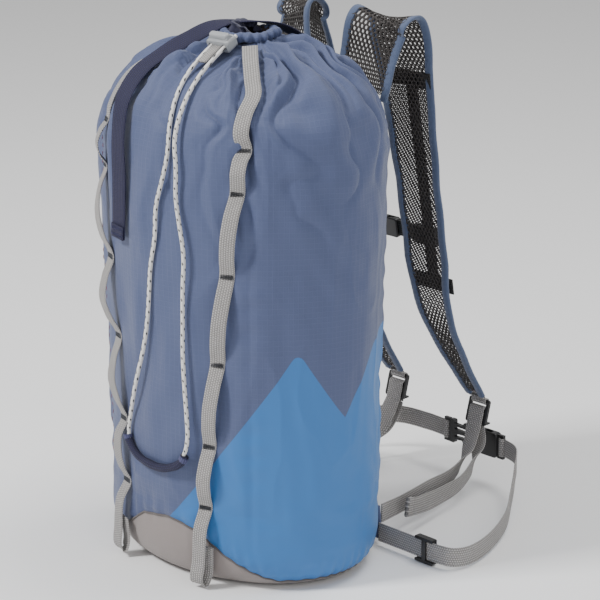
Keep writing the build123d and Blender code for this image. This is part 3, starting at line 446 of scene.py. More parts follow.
def smooth_noise(x, y, z, scale, octaves=2, seed=0.0):
    x, y, z = np.broadcast_arrays(x, y, z)
    flat = np.stack([x.ravel(), y.ravel(), z.ravel()], 1) / scale + seed
    out = np.zeros(len(flat))
    for o in range(octaves):
        out += np.array([noise.noise(Vector(p * 2**o)) for p in flat]) / 2**o
    return out.reshape(x.shape)


def base_surface():
    """Points of the smooth sack, and its outward normals, as rows by bearings."""
    h, w, d, mx, my = (ROW_OVAL[:, k][:, None] for k in range(5))
    x = mx + w * np.cos(THETA)[None, :]
    y = my + d * np.sin(THETA)[None, :]
    p = np.stack([x, y, np.repeat(h, AROUND, 1)], 2)
    du = np.roll(p, -1, 1) - np.roll(p, 1, 1)
    dv = np.gradient(p, axis=0)
    return p, unit(np.cross(du, dv))


BASE_POINTS, BASE_NORMALS = base_surface()


def dome_height(x, y):
    """Height of the sack's top over a point of the plan, and its oval there."""
    low, high = 390.0, 518.0
    for _ in range(24):
        height = (low + high) / 2
        oval = [np.interp(height, OUTLINE[:, 0], OUTLINE[:, k]) for k in (1, 2, 3, 4)]
        inside = ((x - oval[2]) / oval[0]) ** 2 + ((y - oval[3]) / oval[1]) ** 2 < 1
        low, high = (height, high) if inside else (low, height)
    return height, oval


def chain_base(top, tacks):
    """Points of the smooth wall under a daisy chain."""
    points = [(x, y, dome_height(x, y)[0]) for x, y in top]
    for x, z in tacks:
        width, depth = (np.interp(z, OUTLINE[:, 0], OUTLINE[:, k]) for k in (1, 2))
        points.append((x, -depth * math.sqrt(1 - (x / width) ** 2), z))
    return points


TOP_LEFT = [(-26, -27), (-42, -43), (-58, -60), (-71, -73)]
TOP_RIGHT = [(36, -20), (56, -35), (76, -50), (90, -62)]


def bearing_gap(bearing):
    """Signed gap in degrees from each bearing of the sack's grid to a bearing."""
    return (np.degrees(THETA) - bearing + 180) % 360 - 180


# The mouth's gathers: how many round it, phase, depth in millimetres and reach down the wall
GATHERS = ((17, 0.3, 18.0, 165.0), (29, 1.9, 11.0, 100.0), (47, 0.8, 4.5, 58.0))
SHOULDER, DRAPE, FINE, CREASE = 5.0, 5.4, 1.5, 5.0


def pleats():
    """Outward shift in millimetres of each grid point: gathers at the mouth, soft folds below."""
    height = BASE_POINTS[:, :, 2]
    theta = np.repeat(THETA[None, :], ROWS, 0)
    cx, sx = np.cos(theta), np.sin(theta)
    run = (ROW_RUN[-1] - ROW_RUN)[:, None]  # way down from the hem
    warp = smooth_noise(cx * 1.0, sx * 1.0, run / 110.0, 0.55, 2, 3.0) * 0.55
    gathers = np.zeros_like(theta)
    for count, phase, weight, reach in GATHERS:
        ridge = np.abs(np.sin(count * (theta + 0.55 * warp) / 2 + phase))
        gathers += weight * (0.62 - (1 - ridge) ** 1.35) * np.exp(-(run / reach) ** 2.0)
    patchy = 0.75 + 0.5 * smooth_noise(cx * 2.3, sx * 2.3, run / 160.0, 1.0, 1, 9.0)
    near_hem = np.clip(run / 30.0, 0.2, 1.0)
    shift = gathers * patchy * near_hem
    shift += SHOULDER * np.exp(-((run - 88) / 42.0) ** 2)  # the top's shoulder is full
    wall = np.clip((height - 20) / 60, 0, 1) * np.clip(run / 90, 0, 1)
    drape = smooth_noise(cx * 1.5, sx * 1.5, height / 520.0, 0.75, 2, 21.0) * DRAPE
    fine = smooth_noise(cx * 4.5, sx * 4.5, height / 130.0, 1.0, 2, 40.0) * FINE
    crease = -np.abs(smooth_noise(cx * 2.6 + height / 330.0, sx * 2.6, height / 150.0, 1.0, 2, 77.0))
    shift += (drape + fine + crease * CREASE + 1.0) * wall
    for bearing in SEAMS:  # the upright seams pull in, with small puckers beside them
        gap = bearing_gap(bearing)[None, :] * 2.4
        pull = -1.6 * np.exp(-(gap / 5.0) ** 2)
        pucker = 0.7 * np.exp(-(gap / 13.0) ** 2) * np.sin(height / 4.7 + 1.3 * np.sin(height / 23.0))
        shift += (pull + pucker) * wall
    seam_gap = height - np.interp(BASE_POINTS[:, :, 0], SEAM_X, SEAM_Z)
    shift += -1.0 * np.exp(-(seam_gap / 5.0) ** 2)
    shift += 0.8 * np.exp(-((seam_gap - 10) / 13.0) ** 2) * np.sin(theta * 52 + 2.0 * np.sin(theta * 7))
    for tacks in (TACKS_LEFT, TACKS_RIGHT):  # each tack pulls the cloth in and up a little
        for x, z in tacks:
            y = -np.interp(z, OUTLINE[:, 0], OUTLINE[:, 2]) * math.sqrt(
                max(0.0, 1 - (x / np.interp(z, OUTLINE[:, 0], OUTLINE[:, 1])) ** 2))
            d2 = (BASE_POINTS[:, :, 0] - x) ** 2 + (BASE_POINTS[:, :, 1] - y) ** 2 \
                + ((height - z) * 0.75) ** 2
            shift += -1.5 * np.exp(-d2 / 15.0 ** 2)
    for route in (CORD_ROUTE, TOP_STRAP[1:], chain_base(TOP_LEFT, TACKS_LEFT),
                  chain_base(TOP_RIGHT, TACKS_RIGHT)):  # what lies on the cloth presses it flat
        line = catmull(route, 9.0)[0]
        near = np.full(height.shape, 1e9)
        for p in line:
            near = np.minimum(near, ((BASE_POINTS - p) ** 2).sum(2))
        press = np.clip((np.sqrt(near) - 9.0) / 11.0, 0, 1)
        shift = np.where(shift > -0.4, -0.4 + (shift + 0.4) * press, shift)
    for step in np.linspace(0, 46, 8):  # the cord lock slides here
        place = np.array([12, -25, 524.5]) + step * np.array([0.11, -0.891, -0.441])
        near = np.sqrt(((BASE_POINTS - place) ** 2).sum(2))
        shift = np.where(near < 24, np.minimum(shift, -2.6 + 0.25 * np.maximum(near - 14, 0)), shift)
    foot = np.clip(height / 9.0, 0, 1)
    return shift * foot


SHIFT = pleats()


COARSE, FRAMES, MOST_MOVE = 3, 32, 4.5


def simulate_sack():
    """Lets the sack's cloth settle over its stuffing: how far each grid point moves, in millimetres."""
    rows, cols = np.arange(0, ROWS, COARSE), np.arange(0, AROUND, COARSE)
    start = (BASE_POINTS + BASE_NORMALS * SHIFT[:, :, None])[np.ix_(rows, cols)]
    n, m = len(rows), len(cols)
    faces = grid_faces(n, m)
    cloth = mesh_object("sack_cloth_trial", start.reshape(-1, 3) * MM, faces, slate_cloth)
    inner = BASE_POINTS[np.ix_(rows, cols)]
    lumps = smooth_noise(inner[:, :, 0], inner[:, :, 1], inner[:, :, 2] * 0.8, 62.0, 2, 5.0)
    normals = BASE_NORMALS[np.ix_(rows, cols)]
    stuffing = inner - normals * (3.0 - 4.0 * lumps[:, :, None])
    core = mesh_object("stuffing_trial", stuffing.reshape(-1, 3) * MM, faces, slate_cloth)
    core.modifiers.new("Collision", "COLLISION")
    core.collision.thickness_outer = 0.0008
    core.collision.cloth_friction = 12.0
    pins = cloth.vertex_groups.new(name="pins")
    heights = inner[:, :, 2].ravel()
    seam = heights - np.interp(inner[:, :, 0].ravel(), SEAM_X, SEAM_Z)
    held = np.where((seam < 1.0) | (np.repeat(rows, m) > ROWS - 9))[0]
    pins.add([int(i) for i in held], 1.0, "REPLACE")
    modifier = cloth.modifiers.new("Cloth", "CLOTH")
    values = modifier.settings
    values.quality = 6
    values.mass = 0.12
    values.tension_stiffness = 18
    values.compression_stiffness = 14
    values.shear_stiffness = 6
    values.bending_stiffness = 2.6
    values.air_damping = 4
    values.vertex_group_mass = "pins"
    values.shrink_min = values.shrink_max = -0.009  # the cloth is a little bigger than its stuffing
    values.effector_weights.gravity = 0.45
    modifier.collision_settings.use_self_collision = False
    modifier.collision_settings.distance_min = 0.0008
    scene = bpy.context.scene
    scene.frame_start, scene.frame_end = 1, FRAMES
    modifier.point_cache.frame_start, modifier.point_cache.frame_end = 1, FRAMES
    for step in range(1, FRAMES + 1):
        scene.frame_set(step)
    settled = cloth.evaluated_get(bpy.context.evaluated_depsgraph_get())
    co = np.empty(len(settled.data.vertices) * 3)
    settled.data.vertices.foreach_get("co", co)
    moved = co.reshape(n, m, 3) / MM - start
    scene.frame_set(1)
    for obj in (cloth, core):
        bpy.data.objects.remove(obj)
    for _ in range(3):  # the coarse cloth's own ripple is evened out
        beside = (np.roll(moved, 1, 1) + np.roll(moved, -1, 1)) / 2
        above = np.concatenate([moved[:1], moved[:-1]])
        below = np.concatenate([moved[1:], moved[-1:]])
        moved = 0.4 * moved + 0.3 * beside + 0.15 * (above + below)
    size = np.linalg.norm(moved, axis=2, keepdims=True)
    moved *= np.minimum(1.0, MOST_MOVE / np.maximum(size, 1e-6))
    fine = np.empty((ROWS, m, 3))
    for k in range(3):
        for j in range(m):
            fine[:, j, k] = np.interp(np.arange(ROWS), rows, moved[:, j, k])
    full = np.empty((ROWS, AROUND, 3))
    wrapped = np.concatenate([fine, fine[:, :1]], 1)
    places = np.arange(AROUND)
    for k in range(3):
        for i in range(ROWS):
            full[i, :, k] = np.interp(places, np.append(cols, AROUND), wrapped[i, :, k])
    return full


SETTLE = simulate_sack()
SURFACE = BASE_POINTS + BASE_NORMALS * SHIFT[:, :, None] + SETTLE
SURFACE[:, :, 2] = np.maximum(SURFACE[:, :, 2], 0.3)


def grid_place(theta, height):
    """Row and column, as fractions, of the place at a bearing and height."""
    row = np.interp(height, ROW_OVAL[:, 0], np.arange(ROWS))
    col = (theta % (2 * math.pi)) / (2 * math.pi) * AROUND
    return row, col


def sampled(field, row, col):
    r0 = int(min(max(math.floor(row), 0), ROWS - 2))
    c0, fr, fc = int(math.floor(col)) % AROUND, min(max(row - r0, 0), 1), col - math.floor(col)
    c1 = (c0 + 1) % AROUND
    return ((field[r0, c0] * (1 - fc) + field[r0, c1] * fc) * (1 - fr)
            + (field[r0 + 1, c0] * (1 - fc) + field[r0 + 1, c1] * fc) * fr)


def on_sack(theta, height, off=0.0):
    """Point off the finished cloth at a bearing and height, and the cloth's normal there."""
    row, col = grid_place(theta, height)
    normal = unit(sampled(BASE_NORMALS, row, col))
    return sampled(SURFACE, row, col) + normal * off, normal


def bearing_at(x, height, side=-1):
    """Bearing of the wall's point over a distance across the front (or back)."""
    width = np.interp(height, OUTLINE[:, 0], OUTLINE[:, 1])
    middle = np.interp(height, OUTLINE[:, 0], OUTLINE[:, 3])
    return side * math.acos(max(-1.0, min(1.0, (x - middle) / width)))


# ---- Sewn panels ----
MOUNTAIN = [(-150, -57), (-14, 143.5), (56.6, 239.0), (58.8, 240.9), (61.6, 241.4), (64.4, 240.6),
            (66.5, 238.6), (104.3, 177), (130, 240), (200, 330)]


def build_sack():
    """One fine mesh of the sack cut along its seams, as one object for each cloth."""
    bm = bmesh.new()
    verts = [bm.verts.new(p) for p in BASE_POINTS.reshape(-1, 3)]
    for i in range(ROWS - 1):
        for j in range(AROUND):
            a, b = i * AROUND + j, i * AROUND + (j + 1) % AROUND
            bm.faces.new((verts[a], verts[b], verts[b + AROUND], verts[a + AROUND]))
    floor_ring = [verts[j] for j in range(AROUND)]
    centre = bm.verts.new((0, 0, 0.6))
    floor_faces = [bm.faces.new((floor_ring[(j + 1) % AROUND], floor_ring[j], centre))
                   for j in range(AROUND)]
    bottom = set(floor_faces)

    def cut(origin, normal, inside):
        """Splits the wall's faces along a plane, where they are near it and inside its stretch of seam."""
        near = []
        for f in bm.faces:
            c = f.calc_center_median()
            if f not in bottom and inside(c) and abs((c - origin).dot(normal)) < 5:
                near.append(f)
        if near:
            geom = list({v for f in near for v in f.verts}) + list({e for f in near for e in f.edges}) + near
            bmesh.ops.bisect_plane(bm, geom=geom, plane_co=origin, plane_no=normal, dist=0.02)

    for x0, z0, x1, z1 in zip(SEAM_X, SEAM_Z, SEAM_X[1:], SEAM_Z[1:]):
        cut(Vector((x0, 0, z0)), Vector((-(z1 - z0), 0, x1 - x0)).normalized(),
            lambda c: x0 - 3 < c.x < x1 + 3)
    for (u0, v0), (u1, v1) in zip(MOUNTAIN, MOUNTAIN[1:]):
        rise = -(v1 - v0) / math.sqrt(2)
        cut(Vector((u0 / math.sqrt(2), u0 / math.sqrt(2), v0)), Vector((rise, rise, u1 - u0)).normalized(),
            lambda c: c.x > c.y and u0 - 3 < (c.x + c.y) / math.sqrt(2) < u1 + 3)
    bm.verts.index_update()
    co = np.array([v.co for v in bm.verts])
    rows = np.interp(co[:, 2], ROW_OVAL[:, 0], np.arange(ROWS))
    mids = np.stack([np.interp(co[:, 2], ROW_OVAL[:, 0], ROW_OVAL[:, k]) for k in (1, 2, 3, 4)], 1)
    theta = np.arctan2((co[:, 1] - mids[:, 3]) / mids[:, 1], (co[:, 0] - mids[:, 2]) / mids[:, 0])
    final = np.array([sampled(SURFACE, r, (t % (2 * math.pi)) / (2 * math.pi) * AROUND)
                      for r, t in zip(rows, theta)])
    final[centre.index] = (0, 0, 0.6)
    uv = np.stack([(theta % (2 * math.pi)) * 136.0, np.interp(rows, np.arange(ROWS), ROW_RUN)], 1)
    groups = {"slate": [], "mountain": [], "base": []}
    edge_u, edge_v = np.array(MOUNTAIN).T
    for f in bm.faces:
        c = f.calc_center_median()
        indices = [v.index for v in f.verts]
        u = (c.x + c.y) / math.sqrt(2)
        bearing = math.degrees(math.atan2(c.y, c.x)) % 360
        if c.z < np.interp(c.x, SEAM_X, SEAM_Z):
            groups["base"].append(indices)
        elif (bearing > SEAMS[0] or bearing < SEAMS[2]) and c.x > c.y and c.z < np.interp(u, edge_u, edge_v):
            groups["mountain"].append(indices)
        else:
            groups["slate"].append(indices)
    bm.free()
    made = {}
    for key, material in (("slate", slate_cloth), ("mountain", sky_cloth), ("base", taupe_cloth)):
        used = sorted({i for f in groups[key] for i in f})
        where = {i: k for k, i in enumerate(used)}
        faces = [[where[i] for i in f] for f in groups[key]]
        obj = mesh_object(f"sack_{key}", final[used] * MM, faces, material, None, uv[used] * MM)
        layer = obj.data.uv_layers[0].data
        for poly in obj.data.polygons:  # the cloth's own directions run on over the grid's join
            us = [layer[k].uv[0] for k in poly.loop_indices]
            if max(us) - min(us) > 0.4:
                for k in poly.loop_indices:
                    if layer[k].uv[0] < 0.4:
                        layer[k].uv[0] += 2 * math.pi * 136.0 * MM
        made[key] = obj
    return made


sack = build_sack()
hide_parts("front_panel", "side_panel_left", "side_panel_right", "back_panel")
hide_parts("mountain_panel")
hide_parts("base_panel")
for key, name in (("slate", "ripstop_blue"), ("mountain", "coated_sky_blue"), ("base", "base_grey")):
    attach(sack[key], "bag")

# Piping along the base seam
piping_line = []
for t in np.linspace(0, 2 * math.pi, 360, endpoint=False):
    z = np.interp(150 * math.cos(t), SEAM_X, SEAM_Z)
    for _ in range(4):
        z = np.interp(on_sack(t, z)[0][0], SEAM_X, SEAM_Z)
    point = on_sack(t, z, 0.2)[0]
    piping_line.append((point[0], point[1], max(point[2], 1.5)))
piping = tube_mesh("base_seam_piping", piping_line, 1.1, piping_cloth, "bag", 8, closed=True)
dress(piping, "piping_dark", "base_piping")

# Foam in its sleeve behind the back
pad_points = np.array([(141 * math.cos(a), 103.5 * math.sin(a), z) for z in np.linspace(46, 424, 60)
                       for a in np.radians(np.linspace(50, 130, 40))])
back_foam = mesh_object("back_foam", pad_points * MM, grid_faces(60, 40, around=False), foam_black)
back_foam.modifiers.new("Solidify", "SOLIDIFY").thickness = 4.5 * MM
dress(back_foam, "foam", "back_pad")
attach(back_foam, "bag")

# ---- Mouth ----
MOUTH, HEM_RING, HEM_RADIUS = np.array([8.0, 5.0, 518.0]), 25.0, 4.6


def gathered_hem():
    """The cord's tunnel, gathered into folds round the mouth."""
    around, sides, pts, uvs = 420, 14, [], []
    for i in range(around):
        t = 2 * math.pi * i / around
        wave = 0.5 + 0.5 * math.sin(21 * t + 1.2 * math.sin(3 * t))
        fold = 0.72 + 0.42 * wave
        lift = 1.1 * math.sin(2 * t + 0.7) + 0.8 * math.sin(5 * t)
        for j in range(sides):
            a = 2 * math.pi * j / sides
            ring = HEM_RING + HEM_RADIUS * fold * math.cos(a) + 0.6 * math.sin(21 * t)
            z = MOUTH[2] + 4.5 + lift + HEM_RADIUS * (1.0 + 0.15 * wave) * math.sin(a)
            pts.append((MOUTH[0] + ring * math.cos(t), MOUTH[1] + ring * math.sin(t), z))
            uvs.append((t * 60 * MM, a * 5 * MM))
    faces = grid_faces(around, sides, looped=True, flipped=True)
    return mesh_object("gathered_hem", np.array(pts) * MM, faces, slate_cloth, "bag", np.array(uvs))


hem = gathered_hem()
dress(hem, "ripstop_blue", "drawcord_hem")
hem_turn = nurbs_tube("hem_cord_turn", [
    (MOUTH[0] + HEM_RING * math.cos(t), MOUTH[1] + HEM_RING * math.sin(t), MOUTH[2] + 4.5)
    for t in np.linspace(0, 2 * math.pi, 16, endpoint=False)], 0.0018, drawcord.data.materials[0], True)
dress(hem_turn, "cord_fleck", "hem_cord")
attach(hem_turn, "bag")


def crumpled(name, rings, material, folds, depth, seed, sweep=(0.0, 2 * math.pi)):
    """Cloth that lines the mouth: rings of (radius, height) with crumpled folds."""
    closed = sweep[1] - sweep[0] > 6.2
    around, pts, uvs = 300, [], []
    line, _, _ = catmull([(r, z, 0) for r, z in rings], 1.5)
    for k, (r, z, _) in enumerate(line):
        for i in range(around):
            t = sweep[0] + (sweep[1] - sweep[0]) * i / (around if closed else around - 1)
            rise = 1.0 if closed else math.sin(math.pi * (0.04 + 0.92 * i / around)) ** 0.5
            wobble = noise.noise(Vector((math.cos(t) * 2 + seed, math.sin(t) * 2, z * 0.05)))
            fold = math.sin(folds * t + 5 * wobble + 0.05 * z) * depth + wobble * depth * 1.6
            rr = r + fold
            height = rings[0][1] + (z - rings[0][1]) * rise + wobble * depth
            pts.append((MOUTH[0] + rr * math.cos(t), MOUTH[1] + rr * math.sin(t), height))
            uvs.append((t * 30 * MM, k * 1.5 * MM))
    faces = grid_faces(len(line), around, closed)
    return mesh_object(name, np.array(pts) * MM, faces, material, "bag", np.array(uvs))


lining = crumpled("mouth_lining", [(22.5, 526), (18.5, 521), (19.5, 512), (36, 500), (60, 488), (80, 476)],
                  dark_lining, 17, 1.1, 3.0)
dress(lining, "facing_navy", "mouth_facing")
ruffle = crumpled("navy_ruffle", [(21, 519), (18, 526), (15, 531), (17.5, 535), (12.5, 534), (9.5, 528)],
                  navy_cloth, 9, 2.3, 8.0, (math.radians(95), math.radians(325)))
ruffle.modifiers.new("Solidify", "SOLIDIFY").thickness = 0.7 * MM
dress(ruffle, "facing_navy")

# ---- Cord's pull tab ----
# The tab follows the cord's low bend, so its line is the cord's own below the tab's two ends.
cord_line, _, _ = catmull(CORD_ROUTE[13:20], 1.0)
low_part = cord_line[cord_line[:, 2] < 134]
place = np.arange(len(low_part))
ripple = 4.2 + 0.14 * np.sin(place * 0.31) + 0.16 * np.sin(place * 0.13 + 1)
pull_tab = tube_mesh("pull_tab_sleeve", low_part, ripple, navy_web, "bag", 16, 0.86, (0, 1, 0))
dress(pull_tab, "navy_webbing", "pull_tab")
for label, place in (("start", 3), ("end", len(low_part) - 4)):
    ring = tube_mesh(f"pull_tab_{label}", low_part[place - 3:place + 3], 4.9, navy_thread, "bag", 16, 0.86,
                     (0, 1, 0))
    dress(ring, "navy_webbing")

# ---- Cord lock's ribbed tab ----
lock_along = unit((4.6, -37.4, -18.5))
lock_across = unit((16, 2, 0))
lock_normal = -np.cross(lock_across, lock_along)
if lock_normal[2] < 0:
    lock_normal = -lock_normal
lock_end = np.array([12, -25, 524.5]) + lock_along * 19.3
ribbon("cord_lock_ribbed_tab",
       [lock_end, lock_end + lock_along * 12 + lock_normal * 0.4, lock_end + lock_along * 25],
       [lock_across], 10, 2.4, grey_web, "cord_lock", 0.8, node="cord_lock_tab")

# ---- Top strap ----
top_strap = ribbon("top_strap_webbing", TOP_STRAP,
                   [(1, 0.15, 0), (0.93, 0.36, 0), (0.9, 0.42, 0), (0.98, -0.05, 0), (0.98, -0.1, 0)],
                   20, 1.5, navy_web, None, 1.4, 0.10, 2.0, "top_strap")
strap_line, _, _ = catmull(TOP_STRAP, 1.4)
end_along = unit(strap_line[-1] - strap_line[-8])
end_side = unit(np.array([0.98, -0.1, 0]) - end_along * np.dot((0.98, -0.1, 0), end_along))
end_face = np.cross(end_side, end_along)
if end_face[1] > 0:
    end_face = -end_face
strap_tip = strap_line[-1]
ribbon("top_strap_fold", [strap_tip - end_along * back_by + end_face * off
                          for back_by, off in ((13, 1.6), (6, 1.7), (-0.2, 1.5))],
       [end_side], 20, 1.5, navy_web, "top_strap", 1.0)
for k, back_by in enumerate((3.0, 9.5)):
    zigzag(f"top_strap_stitch_{k}", strap_tip - end_along * back_by + end_face * 2.5, end_side, end_along,
           end_face, 17, 2.6, navy_thread, "top_strap", "navy_webbing", 2.0, 0.32)
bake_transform(top_strap)


# ---- Daisy chains ----
def chain_wall(x, z, off):
    """Point off the cloth at a distance across the front, its normal, and the way across the webbing."""
    point, normal = on_sack(bearing_at(x, z), z, off)
    flat = unit(np.array([normal[0], normal[1], 0]))
    return point, normal, np.array([-flat[1], flat[0], 0.0])


def daisy(side, top, tacks, last, bows):
    """Webbing from the mouth, sewn down at its tacks and slack between them, then a hanging loop."""
    first_across = chain_wall(*tacks[0], 0)[2]
    points, across = [], []
    for x, y in top:
        height, oval = dome_height(x, y)
        theta = math.atan2((y - oval[3]) / oval[1], (x - oval[2]) / oval[0])
        points.append(on_sack(theta, height, 4.2)[0])
        across.append(first_across)
    for share in (0.35, 0.7):
        height = points[len(top) - 1][2] * (1 - share) + tacks[0][1] * share
        across_front = top[-1][0] * (1 - share) + tacks[0][0] * share
        points.append(chain_wall(across_front, height, 4.4 - 1.6 * share)[0])
        across.append(first_across)
    for (x0, z0), (x1, z1), bow in zip(tacks, tacks[1:], bows):
        for s, share in ((0.0, 0.0), (0.24, 0.62), (0.5, 1.0), (0.76, 0.62)):
            p, _, a = chain_wall(x0 + s * (x1 - x0), z0 + s * (z1 - z0), 1.2 + bow * share)
            points.append(p)
            across.append(a)
    p, _, a = chain_wall(*tacks[-1], 1.2)
    points.append(p)
    across.append(a)
    for x, z, off in last:
        p, _, a = chain_wall(x, max(z, 26.0), off)
        points.append(np.array([p[0], p[1], z]))
        across.append(a)
    ribbon(f"daisy_webbing_{side}", points, across, 15, 1.4, grey_web, "bag", 1.6, 0.22,
           4.0 if side == "left" else 7.0, f"daisy_chain_{side}")
    for k, (x, z) in enumerate(tacks):
        p, normal, a = chain_wall(x, z, 2.1)
        zigzag(f"daisy_tack_{side}_{k}", p, a, np.cross(normal, a), normal, 13.0, 4.6, tack_thread, "bag",
               "grey_webbing", 0.7, 0.42)


daisy("left", TOP_LEFT, TACKS_LEFT,
      [(-51, 62, 9), (-53, 30, 13), (-54, 11, 14), (-52, 7, 9), (-50, 16, 6.5), (-47, 44, 6)],
      [9.0, 10.5, 11.5, 11.0, 9.0])
daisy("right", TOP_RIGHT, TACKS_RIGHT,
      [(60, 62, 9), (58, 30, 13), (56, 8, 14), (58, 5, 9), (61, 14, 6.5), (63, 44, 6)],
      [8.0, 10.0, 9.0, 9.0, 9.0])

# Red thread beside the left front seam
for k, z in enumerate(np.linspace(96, 424, 42)):
    p, normal = on_sack(math.radians(SEAMS[0] + 1.2), z, 0.35)
    q, _ = on_sack(math.radians(SEAMS[0] + 1.2), z + 4.0, 0.35)
    tube_mesh(f"seam_stitch_{k}", [p, (p + q) / 2 + normal * 0.25, q], 0.32, red_thread, "bag", 5)

# ---- Shoulder straps ----
STRAP_LINE = [(50, 115.5, 452), (53, 120, 490), (58, 131, 525), (60, 150, 522), (60, 164, 475),
              (60, 170.5, 438), (60, 177, 401), (60, 183.5, 364), (60, 190, 327), (60, 196.5, 290),
              (60, 205.3, 240), (60, 217, 204), (60, 240, 163), (60, 266, 124), (60, 279, 106)]
STRAP_TWIST = np.array([(1, 0, 0), (0.87, 0.5, -0.1), (1, 0.15, 0)] + [(1, 0, 0)] * 4)


def strap_frame(step):
    line, _, run = catmull(STRAP_LINE, step)
    share = run / run[-1]
    knots = np.linspace(0, 1, len(STRAP_TWIST))
    side = np.stack([np.interp(share, knots, STRAP_TWIST[:, k]) for k in range(3)], 1)
    along = unit(np.gradient(line, axis=0))
    side = unit(side - along * (side * along).sum(1, keepdims=True))
    width = np.where(share < 0.66, 66 - 6 * share / 0.66, 60 - 34 * (share - 0.66) / 0.34)
    return line, side, along, np.cross(side, along), width, run


FRAME = strap_frame(1.0)


def strap_point(run, across, off):
    """Point of the strap at a way down it, a distance across and one off its middle."""
    line, side, along, face, width, runs = FRAME
    index = np.clip(np.searchsorted(runs, run) - 1, 0, len(runs) - 2)
    part_way = ((run - runs[index]) / (runs[index + 1] - runs[index]))[..., None]
    mixed = [a[index] * (1 - part_way) + a[index + 1] * part_way for a in (line, side, face)]
    return mixed[0] + mixed[1] * across[..., None] + mixed[2] * np.asarray(off)[..., None]


def hex_mesh(name, sign, off, cell=5.4, hole=0.74):
    """Open net of six-sided holes over the strap, inside its binding."""
    line, side, along, face, width, runs = FRAME
    corner = np.radians(np.arange(6) * 60.0)
    hexagon = np.stack([np.cos(corner), np.sin(corner)], 1) * cell / 2
    pts, faces, seen = [], [], {}

    def vertex(u, v, key):
        if key not in seen:
            seen[key] = len(pts)
            pts.append((u, v))
        return seen[key]

    u_count, v_step = int(runs[-1] / (cell * 0.75)), cell * math.sqrt(3) / 2
    for i in range(2, u_count - 1):
        u = i * cell * 0.75
        half = np.interp(u, runs, width) / 2 - 6.5
        rows_here = int(half / v_step) + 1
        for j in range(-rows_here, rows_here + 1):
            v = (j + 0.5 * (i % 2)) * v_step
            if abs(v) > half + 1.0:
                continue
            outer = [vertex(u + a, v + b, (round((u + a) * 20), round((v + b) * 20))) for a, b in hexagon]
            inner = [vertex(u + a * hole, v + b * hole, (i, j, k)) for k, (a, b) in enumerate(hexagon)]
            faces += [(outer[k], outer[(k + 1) % 6], inner[(k + 1) % 6], inner[k]) for k in range(6)]
    pts = np.array(pts)
    ripple = 0.25 * np.sin(pts[:, 0] * 0.35) * np.cos(pts[:, 1] * 0.3)
    place = strap_point(np.clip(pts[:, 0], 0, runs[-1] - 0.01), pts[:, 1], off + ripple)
    place[:, 0] *= sign
    if sign < 0:
        faces = [f[::-1] for f in faces]
    obj = mesh_object(name, place * MM, faces, mesh_yarn, None, pts * MM, False)
    obj.modifiers.new("Solidify", "SOLIDIFY").thickness = 0.7 * MM
    dress(obj, "spacer_mesh")
    return obj


def folded_edge(name, sign, edge):
    """Fabric folded over one edge of the strap, slightly puckered along its stitching."""
    line, side, along, face, width, runs = FRAME
    sec = [(-4.0, 2.0), (-2.6, 2.5), (0.0, 2.6), (2.6, 2.3), (3.7, 1.2), (4.0, 0.0), (3.7, -1.2), (2.6, -2.3),
           (0.0, -2.6), (-2.6, -2.5), (-4.0, -2.0), (-4.2, 0.0)]
    sec = np.array(sec) * (1.0, 0.9)
    pucker = 0.35 * np.sin(runs * 1.05 + edge) + 0.3 * np.sin(runs * 0.41)
    across = edge * (width[:, None] / 2 - 4.0 + sec[None, :, 0]) + edge * 0.5 * np.sin(runs * 0.11)[:, None]
    thick = sec[None, :, 1] * (1 + 0.10 * pucker[:, None])
    v = line[:, None] + side[:, None] * across[:, :, None] + face[:, None] * thick[:, :, None]
    v = v.reshape(-1, 3)
    v[:, 0] *= sign
    n, m = len(line), len(sec)
    uvs = np.stack([np.repeat(runs[:, None], m, 1), np.repeat(np.arange(m)[None] * 2.2, n, 0)], 2)
    faces = grid_faces(n, m, flipped=True)
    faces += [tuple(range(m)), tuple((n - 1) * m + j for j in range(m - 1, -1, -1))]
    if sign * edge < 0:
        faces = [f[::-1] for f in faces]
    obj = mesh_object(name, v * MM, faces, binding_cloth, None, uvs.reshape(-1, 2) * MM)
    dress(obj, "binding_blue")
    return obj


def flip(points, sign):
    """The same points on the right (sign 1) or mirrored to the left (sign -1)."""
    points = np.array(points, float)
    points[..., 0] *= sign
    return points


STRAIGHT_TOP, STRAIGHT_LOW = np.array([60.0, 164, 475]), np.array([60.0, 203, 253])
STRAP_DOWN = unit(STRAIGHT_LOW - STRAIGHT_TOP)
STRAP_OUT = np.array([0.0, -STRAP_DOWN[2], STRAP_DOWN[1]])
if STRAP_OUT[1] < 0:
    STRAP_OUT = -STRAP_OUT
CROSS_HIGH, CROSS_LOW, WEB_OFF = 462.0, 244.0, 7.3
EDGES = (("out", 1), ("in", -1))


def on_strap(height, off, across=0.0):
    share = (STRAIGHT_TOP[2] - height) / (STRAIGHT_TOP[2] - STRAIGHT_LOW[2])
    return STRAIGHT_TOP + (STRAIGHT_LOW - STRAIGHT_TOP) * share + STRAP_OUT * off + np.array([across, 0, 0])


LOCK_BAR, LOCK_HEADING = np.array([60.0, 287, 97.5]), unit((0, -0.25, -0.968))
LADDER_Z = np.cross((1.0, 0, 0), LOCK_HEADING)
STRAND_TOP, FOLD_OFF = 28.0, 2.95
STRAND = [LOCK_BAR + LOCK_HEADING * STRAND_TOP - LADDER_Z * FOLD_OFF, (62, 270, 56), (65, 258, 40),
          (75, 225, 30), (84, 180, 30), (93, 132, 30), (99, 98, 31)]
TAIL = [LOCK_BAR + LOCK_HEADING * STRAND_TOP + LADDER_Z * FOLD_OFF, (64, 281, 54), (70, 270, 38),
        (84, 234, 25), (93, 190, 23), (104, 146, 28), (111, 123, 34)]
WEB_TWIST = [(1, 0, 0), (1, 0, 0.3), (0.2, 0, 1), (0, 0, 1), (0, 0, 1), (0, 0, 1)]

